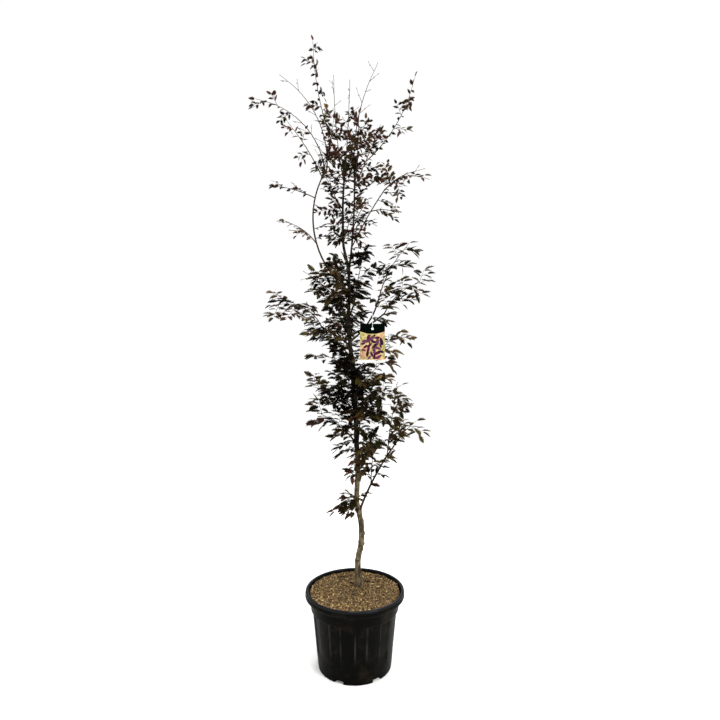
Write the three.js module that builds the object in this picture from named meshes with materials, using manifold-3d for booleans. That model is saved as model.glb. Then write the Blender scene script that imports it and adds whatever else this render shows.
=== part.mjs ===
// A young cut-leaved purple beech, grown as a slender feathered tree in a round nursery pot.
// Millimetres, +Z up, +X to the right, +Y away from the front. The origin is the middle of the
// pot's flat underside. A heading is a compass angle seen from above: 0 right, 90 back, 180 left,
// 270 front. A rise is an angle above level, and past 90 it leans back over its own foot.

import * as THREE from 'three';
import Module from 'manifold-3d';
import { mergeVertices } from 'three/addons/utils/BufferGeometryUtils.js';

const wasm = await Module();
wasm.setup();

const GAP = 0.3;
const SLIVER = 0.05;
const UP = new THREE.Vector3(0, 0, 1);
const TRIANGLE = [[-0.5, 0.29], [0.5, 0.29], [0, -0.58]];
const { degToRad, lerp, smoothstep } = THREE.MathUtils;

// Pot: a 50 litre container with a rolled lip, a collar, pressed flutes and drainage notches
const POT_HEIGHT = 378;
const LIP_RADIUS = 250;
const LIP_BAND = 30;
const LIP_MOUTH = 232;
const COLLAR_RADIUS = 224;
const COLLAR_FOOT = 285;
const WALL_TOP_RADIUS = 213;
const FOOT_RADIUS = 184;
const FOOT_ROUNDING = 3;
const WALL_THICKNESS = 9;
const FLOOR_THICKNESS = 20;
const FLUTES = 10;
const FLUTE_WIDTH = 16;
const FLUTE_DEPTH = 3.5;
const FLUTE_TOP = 281;
const FLUTE_FOOT = 60;
const FLUTE_OVERCUT = 40;
const FLUTE_FIRST = 279;
const NOTCHES = 6;
const NOTCH_WIDTH = 48;
const NOTCH_HEIGHT = 17;
const NOTCH_DEPTH = 26;
const NOTCH_FIRST = 246;
const NOTCH_OVERCUT = 4;
const POT_SIDES = 40;

// Soil and its bark mulch, filling the pot to just under the lip
const SOIL_LEVEL = 362;
const MULCH_RISE = 3;
const MULCH_LEVEL_RADIUS = 130;

// Trunk: sway gives how far right its axis lies at each height
const TRUNK_FOOT = 362.3;
const TRUNK_TIP = 2500;
const TRUNK_SWAY = [
  [362, 20], [490, 15], [610, 34], [670, 33], [820, 9], [980, 15], [1200, 5], [1500, -13],
  [1710, -35], [1850, -30], [1960, -31], [2150, -61], [2300, -62], [2500, -54],
];
const TRUNK_DEPTH_FOOT = 43;
const TRUNK_DEPTH_TIP = 27;
const TRUNK_WIDTH_FOOT = 31;
const TRUNK_WIDTH_TIP = 9;
const ROOT_FLARE = 9;
const ROOT_FLARE_HEIGHT = 40;
const TRUNK_RINGS = 28;
const TRUNK_RINGS_LOW = 1.15;
const TRUNK_TAPER = 1.2;
const TRUNK_SIDES = 10;
const BOUGH_STEP = 70;
const BOUGH_SIDES = 6;
const TIP_SINK = 2;

// Boughs: parent, height on it, heading, first and last rise, length, width at foot and tip
const BOUGHS = {
  leader_left: ['trunk', 1880, 183, 38, 122, 700, 13, 8],
  leader_right: ['trunk', 1975, 15, 82, 92, 545, 12, 8],
  bough_low_right: ['trunk', 748, 350, 70, 54, 420, 15, 8],
  bough_low_left: ['trunk', 1093, 195, 60, 40, 110, 10, 8],
  bough_low_front: ['trunk', 1010, 262, 50, 30, 110, 10, 8],
  bough_low_back: ['trunk', 1060, 82, 60, 44, 130, 10, 8],
  bough_mid_left: ['trunk', 1600, 172, 42, 24, 180, 10, 8],
  bough_mid_front: ['trunk', 1540, 250, 50, 36, 130, 10, 8],
  bough_mid_back: ['trunk', 1620, 100, 50, 36, 150, 10, 8],
  bough_mid_right: ['trunk', 1650, 14, 26, 40, 230, 10, 8],
  bough_tag: ['trunk', 1622, 357, 36, 76, 270, 10, 8],
  bough_right_inner: ['trunk', 1745, 30, 58, 84, 130, 9, 8],
  bough_high_right: ['leader_right', 2105, 355, 65, 55, 340, 9, 8],
};

// Foliage masses: limb, height on it or its tip, heading, first and last rise, length,
// reach of its side twigs, how far its twigs turn round the stem, how full its foliage is, and
// how far up the stem it is leafy
const MASSES = {
  mass_foot_left: ['trunk', 800, 205, 30, -50, 105, 60, 0, 1, 1],
  mass_low_right_inner: ['bough_low_right', 890, 20, 85, 88, 230, 100, 0.7, 0.9, 1],
  mass_low_right_outer: ['bough_low_right', 1040, 350, 84, 80, 290, 90, 0.7, 0.9, 1],
  mass_low_right_tip: ['bough_low_right', 'tip', 350, 58, 40, 120, 90, 0.2, 0.9, 1],
  mass_low_left: ['bough_low_left', 'tip', 190, 44, 26, 150, 110, 0.2, 1, 1],
  mass_low_front: ['bough_low_front', 'tip', 288, 24, -14, 200, 120, 0.2, 1, 1],
  mass_low_back: ['bough_low_back', 'tip', 85, 40, 10, 240, 130, 0.2, 1, 1],
  mass_mid_low_right: ['trunk', 1195, 350, 55, 30, 290, 120, 0.2, 1, 1],
  mass_mid_low_left: ['trunk', 1270, 165, 50, 8, 240, 130, 0.2, 1, 1],
  mass_mid_low_front: ['trunk', 1230, 297, 56, 16, 270, 130, 0.2, 1, 1],
  mass_mid_low_back: ['trunk', 1320, 110, 54, 14, 300, 130, 0.2, 1, 1],
  mass_near_right: ['trunk', 1340, 25, 56, 40, 250, 120, 0.3, 1, 1],
  mass_tag_side: ['trunk', 1470, 10, 36, 44, 300, 110, 0.2, 0.9, 1],
  mass_mid_left_lower: ['trunk', 1440, 205, 50, 15, 270, 130, 0.2, 1, 1],
  mass_near_left: ['trunk', 1540, 168, 50, 15, 260, 120, 0.3, 1, 1],
  mass_mid_left_tip: ['bough_mid_left', 'tip', 175, 66, -12, 290, 130, 0.2, 0.95, 1],
  mass_mid_left_upper: ['trunk', 1730, 190, 68, 30, 310, 130, 0.2, 0.9, 1],
  mass_mid_front: ['bough_mid_front', 'tip', 255, 34, 8, 230, 130, 0.2, 1, 1],
  mass_mid_back: ['bough_mid_back', 'tip', 95, 34, 8, 250, 130, 0.2, 1, 1],
  mass_mid_right_tip: ['bough_mid_right', 'tip', 356, 66, 14, 260, 120, 0.2, 0.9, 1],
  mass_right_high: ['bough_tag', 'tip', 350, 76, 48, 300, 110, 0.4, 0.9, 1],
  mass_right_inner: ['bough_right_inner', 'tip', 30, 80, 75, 210, 100, 0.7, 0.9, 1],
  mass_upper_front: ['trunk', 1800, 250, 58, 24, 280, 125, 0.2, 1, 1],
  mass_upper_back: ['trunk', 1850, 100, 60, 24, 290, 125, 0.2, 1, 1],
  mass_left_tips: ['leader_left', 2121, 180, 56, 20, 180, 90, 0.2, 0.8, 1],
  mass_left_high: ['leader_left', 2357, 172, 28, 12, 200, 60, 0.2, 0.75, 1],
  mass_column_front: ['trunk', 2130, 300, 62, 42, 240, 100, 0.4, 0.9, 1],
  mass_column_back: ['leader_right', 2200, 65, 60, 36, 240, 100, 0.4, 0.9, 1],
  mass_column_left: ['trunk', 2260, 225, 64, 50, 200, 90, 0.4, 0.8, 1],
  mass_high_right_low: ['bough_high_right', 2290, 335, 8, -20, 120, 70, 0, 0.8, 1],
  mass_high_right_tip: ['bough_high_right', 'tip', 355, 50, 8, 200, 80, 0.2, 0.8, 1],
  mass_top_left: ['leader_left', 2420, 320, 62, 80, 300, 120, 0.8, 1, 1],
  mass_top_right: ['leader_right', 2400, 285, 64, 86, 340, 120, 0.8, 1, 1],
  shoot_top: ['trunk', 'tip', 174, 64, 88, 675, 80, 0.8, 0.78, 1],
  shoot_back: ['trunk', 2440, 118, 68, 88, 590, 130, 0.8, 0.85, 0.55],
  shoot_left_upright: ['leader_left', 'tip', 180, 94, 36, 530, 90, 0.8, 0.78, 0.6],
  shoot_left_wide: ['leader_left', 2490, 180, 84, 12, 530, 70, 0.8, 0.75, 1],
  shoot_left_low: ['leader_left', 2462, 198, 64, 48, 290, 70, 0.4, 0.75, 1],
  shoot_right_upright: ['leader_right', 'tip', 10, 92, 64, 540, 130, 0.8, 0.85, 0.5],
  shoot_right_wide: ['leader_right', 2500, 352, 34, 76, 540, 70, 0.5, 0.75, 1],
  shoot_right_back: ['leader_right', 2420, 40, 62, 66, 380, 80, 0.8, 0.75, 1],
  shoot_front: ['trunk', 2380, 280, 52, 76, 480, 120, 0.8, 0.9, 0.75],
};

// Twigs and leaves, larger than life so that fewer of them fill the crown
const STEM_STEP = 60;
const STEM_WIDTH = 7.5;
const STEM_TIP_WIDTH = 4.5;
const SPRAY_ROLL = 45;
const TWIG_STEP = 44;
const TWIG_FIRST = 0.75;
const TWIG_ROLL = 50;
const TWIG_TURN = 70;
const TWIG_ANGLE = 50;
const TWIG_ANGLE_SPREAD = 20;
const TWIG_SHORTEN = 0.6;
const TWIG_DROOP = 0.12;
const TWIG_TO_STEM = 0.45;
const TWIG_TAPER = 0.7;
const LEAF_STEP = 36;
const LEAF_LENGTH = 88;
const LEAF_WIDTH = 40;
const LEAF_KEEL = 3;
const LEAF_WIDEST = 0.42;
const LEAF_ANGLE = 52;
const LEAF_ANGLE_SPREAD = 24;
const LEAF_FIRST_ON_TWIG = 0.45;
const LEAF_FIRST_ON_STEM = 0.3;
const LEAF_ROLL = 60;
const LEAF_TILT = 70;
const LEAF_SWING = 12;
const LEAF_DROOP = 0.28;
const LEAF_SINK = 0.4;
const LEAF_TRIES = 5;
const TWIG_TRIES = [1, 0.7, 0.45];
const SPACE_MARGIN = 2;
const SAMPLES_A_STEP = 8;
const TAG_MARGIN = 12;
const POT_MARGIN = 20;

// Which run of seeded numbers each kind of choice draws from
const LOTS = {
  twigRoll: 0, sprayRoll: 7, twigAngle: 40, twigLength: 80, twigLeaf: 200, leafDroop: 400, stemRoll: 900,
  stemLeaf: 1000, stemEnd: 1990, leafTilt: 2000, leafSize: 3000, leafSwing: 4000, nextTry: 5000,
};
const LEAVES_A_TWIG = 12;

// Hang tag: a bare printed card on a loop round one twig
const TAG_WIDTH = 127;
const TAG_HEIGHT = 198;
const TAG_THICKNESS = 1.6;
const TAG_CORNER = 5;
const TAG_LEFT = 26;
const TAG_TOP = 1715;
const TAG_DEPTH = 18;
const HOLE_RADIUS = 7;
const HOLE_DROP = 26;
const LOOP_WIRE = 1.3;
const LOOP_REACH = 15;
const LOOP_SLACK = 0.7;
const LOOP_POINTS = 16;
const LOOP_SIDES = 5;

const COLOURS = {
  plastic: 0x25272a,
  mulch: 0x9b7f55,
  bark: 0x7d7464,
  twig: 0x5f5040,
  leaf: 0x3a2725,
  card: 0xd6c27a,
  loop: 0xdfe3e2,
};

// The same seed always gives the same number from 0 to 1
function scatter(seed, index) {
  const wave = Math.sin(seed * 127.1 + index * 311.7) * 43758.5453;
  return wave - Math.floor(wave);
}

// A seeded number spread evenly about nought
function spread(seed, index, width) {
  return (scatter(seed, index) - 0.5) * width;
}

function solid(geometry) {
  const bare = geometry.clone();
  bare.deleteAttribute('normal');
  bare.deleteAttribute('uv');
  const merged = mergeVertices(bare, 1e-4);
  return new wasm.Manifold(new wasm.Mesh({
    numProp: 3,
    vertProperties: Float32Array.from(merged.attributes.position.array),
    triVerts: Uint32Array.from(merged.index.array),
  }));
}

function solidOf(faces) {
  const spots = faces.flat().flatMap((corner) => corner.toArray());
  const geometry = new THREE.BufferGeometry();
  geometry.setAttribute('position', new THREE.Float32BufferAttribute(spots, 3));
  return solid(geometry);
}

function geometryOf(manifold) {
  const mesh = manifold.getMesh();
  const geometry = new THREE.BufferGeometry();
  geometry.setAttribute('position', new THREE.BufferAttribute(mesh.vertProperties, 3));
  geometry.setIndex(new THREE.BufferAttribute(mesh.triVerts, 1));
  geometry.computeVertexNormals();
  return geometry;
}

function joined(solids) {
  return solids.slice(1).reduce((whole, next) => whole.add(next), solids[0]);
}

// The main piece, with the slivers that cutting and fusing leave in its skin smoothed away
function largestPiece(manifold) {
  const pieces = manifold.simplify(SLIVER).decompose();
  return pieces.reduce((best, piece) => (piece.volume() > best.volume() ? piece : best));
}

function compass(heading) {
  const angle = degToRad(heading);
  return new THREE.Vector3(Math.cos(angle), Math.sin(angle), 0);
}

// An arc that leaves its foot at one rise and bends evenly to another
function arcPoints(foot, heading, riseFrom, riseTo, length, steps) {
  const outward = compass(heading);
  const points = [foot.clone()];
  for (let i = 0; i < steps; i += 1) {
    const rise = degToRad(lerp(riseFrom, riseTo, (i + 0.5) / steps));
    const step = outward.clone().multiplyScalar(Math.cos(rise)).addScaledVector(UP, Math.sin(rise));
    points.push(points[i].clone().addScaledVector(step, length / steps));
  }
  return points;
}

// A tapering rod through a list of points. Its rings stand square to the path, or level on a trunk.
function rod(points, radii, sides, level = false) {
  const rings = points.length - 1;
  const geometry = new THREE.CylinderGeometry(1, 1, 1, sides, rings);
  const place = geometry.attributes.position;
  const frames = ringFrames(points, level);
  for (let i = 0; i < place.count; i += 1) {
    const ring = Math.round((place.getY(i) + 0.5) * rings);
    const { across, along } = frames[ring];
    const spot = points[ring].clone()
      .addScaledVector(across, place.getX(i) * radii[ring])
      .addScaledVector(new THREE.Vector3().crossVectors(across, along), place.getZ(i) * radii[ring]);
    place.setXYZ(i, spot.x, spot.y, spot.z);
  }
  return solid(geometry);
}

function ringFrames(points, level) {
  let across = new THREE.Vector3(1, 0, 0);
  return points.map((point, i) => {
    const before = points[Math.max(i - 1, 0)];
    const after = points[Math.min(i + 1, points.length - 1)];
    const along = level ? UP.clone() : after.clone().sub(before).normalize();
    if (i === 0 && Math.abs(along.x) > 0.9) {
      across = new THREE.Vector3(0, 1, 0);
    }
    across = across.clone().addScaledVector(along, -across.dot(along)).normalize();
    return { across, along };
  });
}

function radiusAlong(widthFrom, widthTo, count) {
  return Array.from({ length: count }, (_, i) => lerp(widthFrom, widthTo, i / (count - 1)) / 2);
}

// Limbs: every limb keeps its path, so that others can leave it and leaves can stay off it

const limbs = {};

function swayAt(height) {
  const next = Math.max(1, TRUNK_SWAY.findIndex(([level]) => level >= height));
  const [lowHeight, lowSway] = TRUNK_SWAY[next - 1];
  const [highHeight, highSway] = TRUNK_SWAY[next];
  return lerp(lowSway, highSway, smoothstep(height, lowHeight, highHeight));
}

function growTrunk() {
  const points = [];
  const radii = [];
  for (let i = 0; i <= TRUNK_RINGS; i += 1) {
    const share = (i / TRUNK_RINGS) ** TRUNK_RINGS_LOW;
    const height = lerp(TRUNK_FOOT, TRUNK_TIP, share);
    const flare = ROOT_FLARE * Math.exp(-(height - TRUNK_FOOT) / ROOT_FLARE_HEIGHT);
    points.push(new THREE.Vector3(
      swayAt(Math.max(height, TRUNK_SWAY[0][0])),
      lerp(TRUNK_DEPTH_FOOT, TRUNK_DEPTH_TIP, share),
      height,
    ));
    radii.push((lerp(TRUNK_WIDTH_FOOT, TRUNK_WIDTH_TIP, share ** TRUNK_TAPER) + flare) / 2);
  }
  limbs.trunk = { points, radii, sides: TRUNK_SIDES, level: true };
}

function growBough(name) {
  const [parent, height, heading, riseFrom, riseTo, length, widthFrom, widthTo] = BOUGHS[name];
  const steps = Math.max(3, Math.round(length / BOUGH_STEP));
  const points = arcPoints(footOn(parent, height), heading, riseFrom, riseTo, length, steps);
  const radii = radiusAlong(widthFrom, widthTo, points.length);
  limbs[name] = { parent, points, radii, sides: BOUGH_SIDES, level: false };
}

function footOn(limbName, height) {
  const { points } = limbs[limbName];
  const next = points.findIndex((point) => point.z >= height);
  const low = points[next - 1];
  const high = points[next];
  return low.clone().lerp(high, (height - low.z) / (high.z - low.z));
}

function limbSolid({ points, radii, sides, level }, extra = 0) {
  return rod(points, radii.map((radius) => radius + extra), sides, level);
}

// A limb's solid with the gap added all round it and past its tip
function limbRoom(name) {
  const { points, sides } = limbs[name];
  const longer = [...points.slice(0, -1), tipSeat(name, GAP)];
  return limbSolid({ ...limbs[name], points: longer }, GAP / Math.cos(Math.PI / sides));
}

function cutFromParent(manifold, parent) {
  return largestPiece(manifold.subtract(limbRoom(parent)));
}

// Foliage: each mass is one stem with twigs to its left and right, and leaves along both

function stemOf(name) {
  const [limb, where, heading, riseFrom, riseTo, length] = MASSES[name];
  const steps = Math.max(3, Math.round(length / STEM_STEP));
  const foot = where === 'tip' ? tipSeat(limb, -TIP_SINK) : footOn(limb, where);
  return { heading, length, points: arcPoints(foot, heading, riseFrom, riseTo, length, steps) };
}

// A point past a limb's tip, or within it where the distance is negative
function tipSeat(limb, distance) {
  const { points } = limbs[limb];
  return points.at(-1).clone().addScaledVector(directionAt(points, 1), distance);
}

function along(points, share) {
  const place = share * (points.length - 1);
  const low = Math.min(Math.floor(place), points.length - 2);
  return points[low].clone().lerp(points[low + 1], place - low);
}

function directionAt(points, share) {
  const low = Math.min(Math.floor(share * (points.length - 1)), points.length - 2);
  return points[low + 1].clone().sub(points[low]).normalize();
}

// The flat plane that a stem's twigs lie in, turned round the stem by roll
function sprayPlane(direction, heading, roll) {
  const side = compass(heading + 90);
  side.addScaledVector(direction, -side.dot(direction)).normalize();
  side.applyAxisAngle(direction, degToRad(roll));
  return { side, normal: new THREE.Vector3().crossVectors(direction, side) };
}

function turned(direction, side, angle, droop) {
  const angleTurned = degToRad(angle);
  return direction.clone().multiplyScalar(Math.cos(angleTurned))
    .addScaledVector(side, Math.sin(angleTurned))
    .addScaledVector(UP, -droop)
    .normalize();
}

// Each spray as a whole leans to one side of level
function sprayRoll(seed) {
  return spread(seed, LOTS.sprayRoll, 2 * SPRAY_ROLL);
}

// Every twig of a mass: its foot, its run, the plane of its leaves and its place on the stem
function twigsOf(stem, seed, reach, round, fullness) {
  const count = Math.max(2, Math.round(stem.length * fullness ** 2 / TWIG_STEP));
  const twigs = [];
  for (let i = 0; i < count; i += 1) {
    const share = (i + TWIG_FIRST) / count;
    const forward = directionAt(stem.points, share);
    const roll = sprayRoll(seed) + round * i * TWIG_TURN + spread(seed, LOTS.twigRoll + i, TWIG_ROLL);
    const { side, normal } = sprayPlane(forward, stem.heading, roll);
    const angle = TWIG_ANGLE + spread(seed, LOTS.twigAngle + i, TWIG_ANGLE_SPREAD);
    const direction = turned(forward, side.multiplyScalar(i % 2 ? -1 : 1), angle, TWIG_DROOP);
    const length = reach * (1 - TWIG_SHORTEN * share) * (0.8 + 0.4 * scatter(seed, LOTS.twigLength + i));
    twigs.push({ foot: along(stem.points, share), direction, normal, length, share, index: i });
  }
  return twigs;
}

function leavesOnTwig(twig, seed, fullness) {
  const count = Math.max(1, Math.round(twig.length * fullness / LEAF_STEP));
  const across = new THREE.Vector3().crossVectors(twig.normal, twig.direction).normalize();
  const leaves = [];
  for (let j = 0; j < count; j += 1) {
    const number = LOTS.twigLeaf + twig.index * LEAVES_A_TWIG + j;
    const angle = LEAF_ANGLE + spread(seed, number, LEAF_ANGLE_SPREAD);
    const droop = LEAF_DROOP * (0.4 + 1.2 * scatter(seed, number + LOTS.leafDroop));
    const side = across.clone().multiplyScalar(j % 2 ? -1 : 1);
    const direction = turned(twig.direction, side, angle, droop);
    const foot = pointOn(twig, (j + LEAF_FIRST_ON_TWIG) / count);
    leaves.push({ foot, direction, normal: twig.normal, number, share: twig.share });
  }
  return leaves;
}

function endLeaf(twig) {
  const number = LOTS.twigLeaf + (twig.index + 1) * LEAVES_A_TWIG - 1;
  return { foot: pointOn(twig, 1), direction: twig.direction, normal: twig.normal, number, fixed: true };
}

function leavesOnStem(stem, seed, fullness) {
  const leaves = [];
  const count = Math.max(2, Math.round(stem.length * fullness ** 2 / LEAF_STEP));
  for (let j = 0; j < count; j += 1) {
    const share = (j + LEAF_FIRST_ON_STEM) / count;
    const forward = directionAt(stem.points, share);
    const roll = sprayRoll(seed) + spread(seed, LOTS.stemRoll + j, LEAF_ROLL);
    const { side, normal } = sprayPlane(forward, stem.heading, roll);
    const direction = turned(forward, side.multiplyScalar(j % 2 ? 1 : -1), LEAF_ANGLE, LEAF_DROOP);
    leaves.push({ foot: along(stem.points, share), direction, normal, number: LOTS.stemLeaf + j, share });
  }
  return leaves;
}

// A leaf's blade: its root, left, tip and right corners, and the keel under its waist
function bladeOf(leaf, seed, attempt, size) {
  const number = leaf.number + attempt * LOTS.nextTry;
  const tilt = degToRad(spread(seed, number + LOTS.leafTilt, LEAF_TILT));
  const swing = degToRad(attempt * spread(seed, number + LOTS.leafSwing, LEAF_SWING));
  const length = LEAF_LENGTH * size * (0.82 + 0.3 * scatter(seed, number + LOTS.leafSize) - 0.04 * attempt);
  const direction = leaf.direction.clone().applyAxisAngle(leaf.normal, leaf.fixed ? 0 : swing);
  const across = new THREE.Vector3().crossVectors(leaf.normal, direction).normalize();
  across.applyAxisAngle(direction, tilt);
  const width = LEAF_WIDTH * length / LEAF_LENGTH;
  const root = leaf.foot.clone().addScaledVector(direction, -LEAF_SINK);
  const waist = leaf.foot.clone().addScaledVector(direction, length * LEAF_WIDEST);
  const left = waist.clone().addScaledVector(across, -width / 2);
  const tip = leaf.foot.clone().addScaledVector(direction, length);
  const right = waist.clone().addScaledVector(across, width / 2);
  const face = new THREE.Vector3().crossVectors(direction, across).normalize();
  return { corners: [root, left, tip, right], keel: waist.clone().addScaledVector(face, -LEAF_KEEL), waist };
}

// A keeled blade of six faces: flat above, with its midrib as the keel below
function leafSolid({ corners: [root, left, tip, right], keel }) {
  return solidOf([
    [root, left, right], [root, right, keel], [root, keel, left],
    [tip, right, left], [tip, keel, right], [tip, left, keel],
  ]);
}

function pointOn({ foot, direction, length }, share) {
  return foot.clone().addScaledVector(direction, length * share);
}

function twigRing({ direction, normal }, centre, width) {
  const across = new THREE.Vector3().crossVectors(normal, direction).normalize();
  return TRIANGLE.map(([side, rise]) => (
    centre.clone().addScaledVector(across, side * width).addScaledVector(normal, rise * width)
  ));
}

function twigWidth(share) {
  return lerp(STEM_WIDTH, STEM_TIP_WIDTH, share) * TWIG_TO_STEM;
}

// A three-sided twig that widens into the keeled leaf at its end, as one closed skin
function leafyTwig(twig, { corners: [, left, tip, right], keel }) {
  const width = twigWidth(twig.share);
  const neck = twigRing(twig, pointOn(twig, 1), width * TWIG_TAPER);
  return skin([twigRing(twig, twig.foot, width), neck, [left, right, keel], [tip]]);
}

// The stem is a longer three-sided twig, ending in a leaf or, where it is bare, in a point
function stemSolid({ points, heading }, blade) {
  const rings = points.map((point, i) => {
    const share = i / (points.length - 1);
    const direction = directionAt(points, share);
    const { normal } = sprayPlane(direction, heading, 0);
    return twigRing({ direction, normal }, point, lerp(STEM_WIDTH, STEM_TIP_WIDTH, share));
  });
  if (!blade) {
    return skin([...rings.slice(0, -1), [points.at(-1)]]);
  }
  const { corners: [, left, tip, right], keel } = blade;
  return skin([...rings, [left, right, keel], [tip]]);
}

function stemEndLeaf({ points, heading }) {
  const direction = directionAt(points, 1);
  const { normal } = sprayPlane(direction, heading, 0);
  return { foot: points.at(-1), direction, normal, number: LOTS.stemEnd, fixed: true };
}

function bareTwig(twig) {
  return skin([twigRing(twig, twig.foot, twigWidth(twig.share)), [pointOn(twig, 1)]]);
}

// Triangles round three-cornered rings, with a flat first end and a pointed last one
function skin(rings) {
  const faces = [[rings[0][0], rings[0][1], rings[0][2]]];
  for (let i = 1; i < rings.length; i += 1) {
    for (let k = 0; k < 3; k += 1) {
      const a = rings[i - 1][k];
      const b = rings[i - 1][(k + 1) % 3];
      if (rings[i].length === 1) {
        faces.push([b, a, rings[i][0]]);
      } else {
        faces.push([b, a, rings[i][k]], [b, rings[i][k], rings[i][(k + 1) % 3]]);
      }
    }
  }
  return solidOf(faces);
}

// Space: a mass owns the points that lie nearer to its own stem than to any other stem

const stems = {};

function distanceToPath(point, points) {
  const segment = new THREE.Line3();
  const nearest = new THREE.Vector3();
  let best = Infinity;
  for (let i = 1; i < points.length; i += 1) {
    segment.set(points[i - 1], points[i]);
    segment.closestPointToPoint(point, true, nearest);
    best = Math.min(best, nearest.distanceTo(point));
  }
  return best;
}

function keepsToSpace(name, spots) {
  return spots.every((spot) => {
    const own = distanceToPath(spot, stems[name].points);
    return Object.entries(stems).every(([other, { points }]) => (
      other === name || distanceToPath(spot, points) > own + SPACE_MARGIN
    ));
  });
}

function facesOf([root, left, tip, right]) {
  return [new THREE.Triangle(root, left, tip), new THREE.Triangle(root, tip, right)];
}

function clearOfLimbs(corners) {
  const faces = facesOf(corners);
  const nearest = new THREE.Vector3();
  return limbSamples.every(({ spot, radius }) => faces.every((face) => (
    face.closestPointToPoint(spot, nearest).distanceTo(spot) > radius + LEAF_KEEL
  )));
}

function pierces(from, to, faces) {
  const way = to.clone().sub(from);
  const reach = way.length();
  const ray = new THREE.Ray(from, way.normalize());
  const hit = new THREE.Vector3();
  return faces.some(({ a, b, c }) => (
    ray.intersectTriangle(a, b, c, false, hit) !== null && hit.distanceTo(from) < reach
  ));
}

function edgesOf([root, left, tip, right]) {
  return [[root, left], [left, tip], [tip, right], [right, root], [root, tip]];
}

function bladesCross(one, other) {
  if (one.waist.distanceTo(other.waist) > LEAF_LENGTH * 1.2) {
    return false;
  }
  const faces = facesOf(one.corners);
  const otherFaces = facesOf(other.corners);
  return edgesOf(one.corners).some(([from, to]) => pierces(from, to, otherFaces))
    || edgesOf(other.corners).some(([from, to]) => pierces(from, to, faces));
}

function sampleLimbs() {
  const samples = [];
  for (const { points, radii } of Object.values(limbs)) {
    const count = points.length * SAMPLES_A_STEP;
    for (let i = 0; i <= count; i += 1) {
      const share = i / count;
      const place = share * (points.length - 1);
      const low = Math.min(Math.floor(place), points.length - 2);
      samples.push({ spot: along(points, share), radius: lerp(radii[low], radii[low + 1], place - low) });
    }
  }
  return samples;
}

// Nothing grows in front of the hang tag or down into the pot
function inKeptRoom({ x, y, z }) {
  const beforeTag = x > TAG_LEFT - TAG_MARGIN && x < TAG_LEFT + TAG_WIDTH + TAG_MARGIN
    && y < TAG_DEPTH + TAG_MARGIN / 2
    && z > TAG_TOP - TAG_HEIGHT - TAG_MARGIN && z < TAG_TOP + TAG_MARGIN;
  const inPot = z < POT_HEIGHT + POT_MARGIN && Math.hypot(x, y) < LIP_RADIUS + POT_MARGIN;
  return beforeTag || inPot;
}

// A mass is fused from its stem and each twig and leaf that keeps to its space and crosses nothing
function massSolid(name, seed) {
  const [limb, , , , , , reach, round, fullness, leafyTo] = MASSES[name];
  const stem = stems[name];
  const blades = [];
  const twigs = [];
  const rods = stem.points.slice(1).map((point, i) => ({ from: stem.points[i], to: point, owner: 'stem' }));

  const fits = (blade, owner) => {
    const faces = facesOf(blade.corners);
    return !blade.corners.some(inKeptRoom)
      && keepsToSpace(name, [...blade.corners, blade.waist])
      && clearOfLimbs(blade.corners)
      && !blades.some((other) => bladesCross(blade, other))
      && !rods.some((each) => each.owner !== owner && pierces(each.from, each.to, faces));
  };
  const twigFits = (twig) => {
    const way = [0.25, 0.5, 0.75, 1].map((share) => pointOn(twig, share));
    const strip = [way[0], way[0].clone().add(twig.normal), way[3].clone().add(twig.normal), way[3]];
    return keepsToSpace(name, way) && clearOfLimbs(strip) && !way.some(inKeptRoom);
  };
  const firstFit = (leaf, owner) => Array.from({ length: LEAF_TRIES })
    .map((_, attempt) => bladeOf(leaf, seed, attempt, fullness))
    .find((blade) => fits(blade, owner));
  const addLeaf = (leaf, owner) => {
    const blade = firstFit(leaf, owner);
    if (blade && leaf.share <= leafyTo) {
      blades.push(blade);
      solids.push(leafSolid(blade));
    }
  };

  const topLeaf = leafyTo < 1 ? null : firstFit(stemEndLeaf(stem), 'stem');
  const solids = [stemSolid(stem, topLeaf)];
  blades.push(...(topLeaf ? [topLeaf] : []));
  for (const fullTwig of twigsOf(stem, seed, reach, round, fullness)) {
    const bare = fullTwig.share > leafyTo;
    for (const part of TWIG_TRIES) {
      const twig = { ...fullTwig, length: fullTwig.length * part };
      const blade = bare ? null : firstFit(endLeaf(twig), twig.index);
      if ((bare || blade) && twigFits(twig)) {
        rods.push({ from: twig.foot, to: pointOn(twig, 1), owner: twig.index });
        solids.push(bare ? bareTwig(twig) : leafyTwig(twig, blade));
        blades.push(...(bare ? [] : [blade]));
        twigs.push(...(bare ? [] : [twig]));
        break;
      }
    }
  }
  twigs.forEach((twig) => leavesOnTwig(twig, seed, fullness).forEach((leaf) => addLeaf(leaf, twig.index)));
  leavesOnStem(stem, seed, fullness).forEach((leaf) => addLeaf(leaf, 'stem'));
  return cutFromParent(joined(solids), limb);
}

// Pot

// A body turned from a list of radius and height pairs
function turnedBody(pairs) {
  const profile = pairs.map(([radius, height]) => new THREE.Vector2(radius, height));
  const lathe = new THREE.LatheGeometry(profile, POT_SIDES);
  lathe.rotateX(Math.PI / 2);
  return solid(lathe);
}

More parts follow.
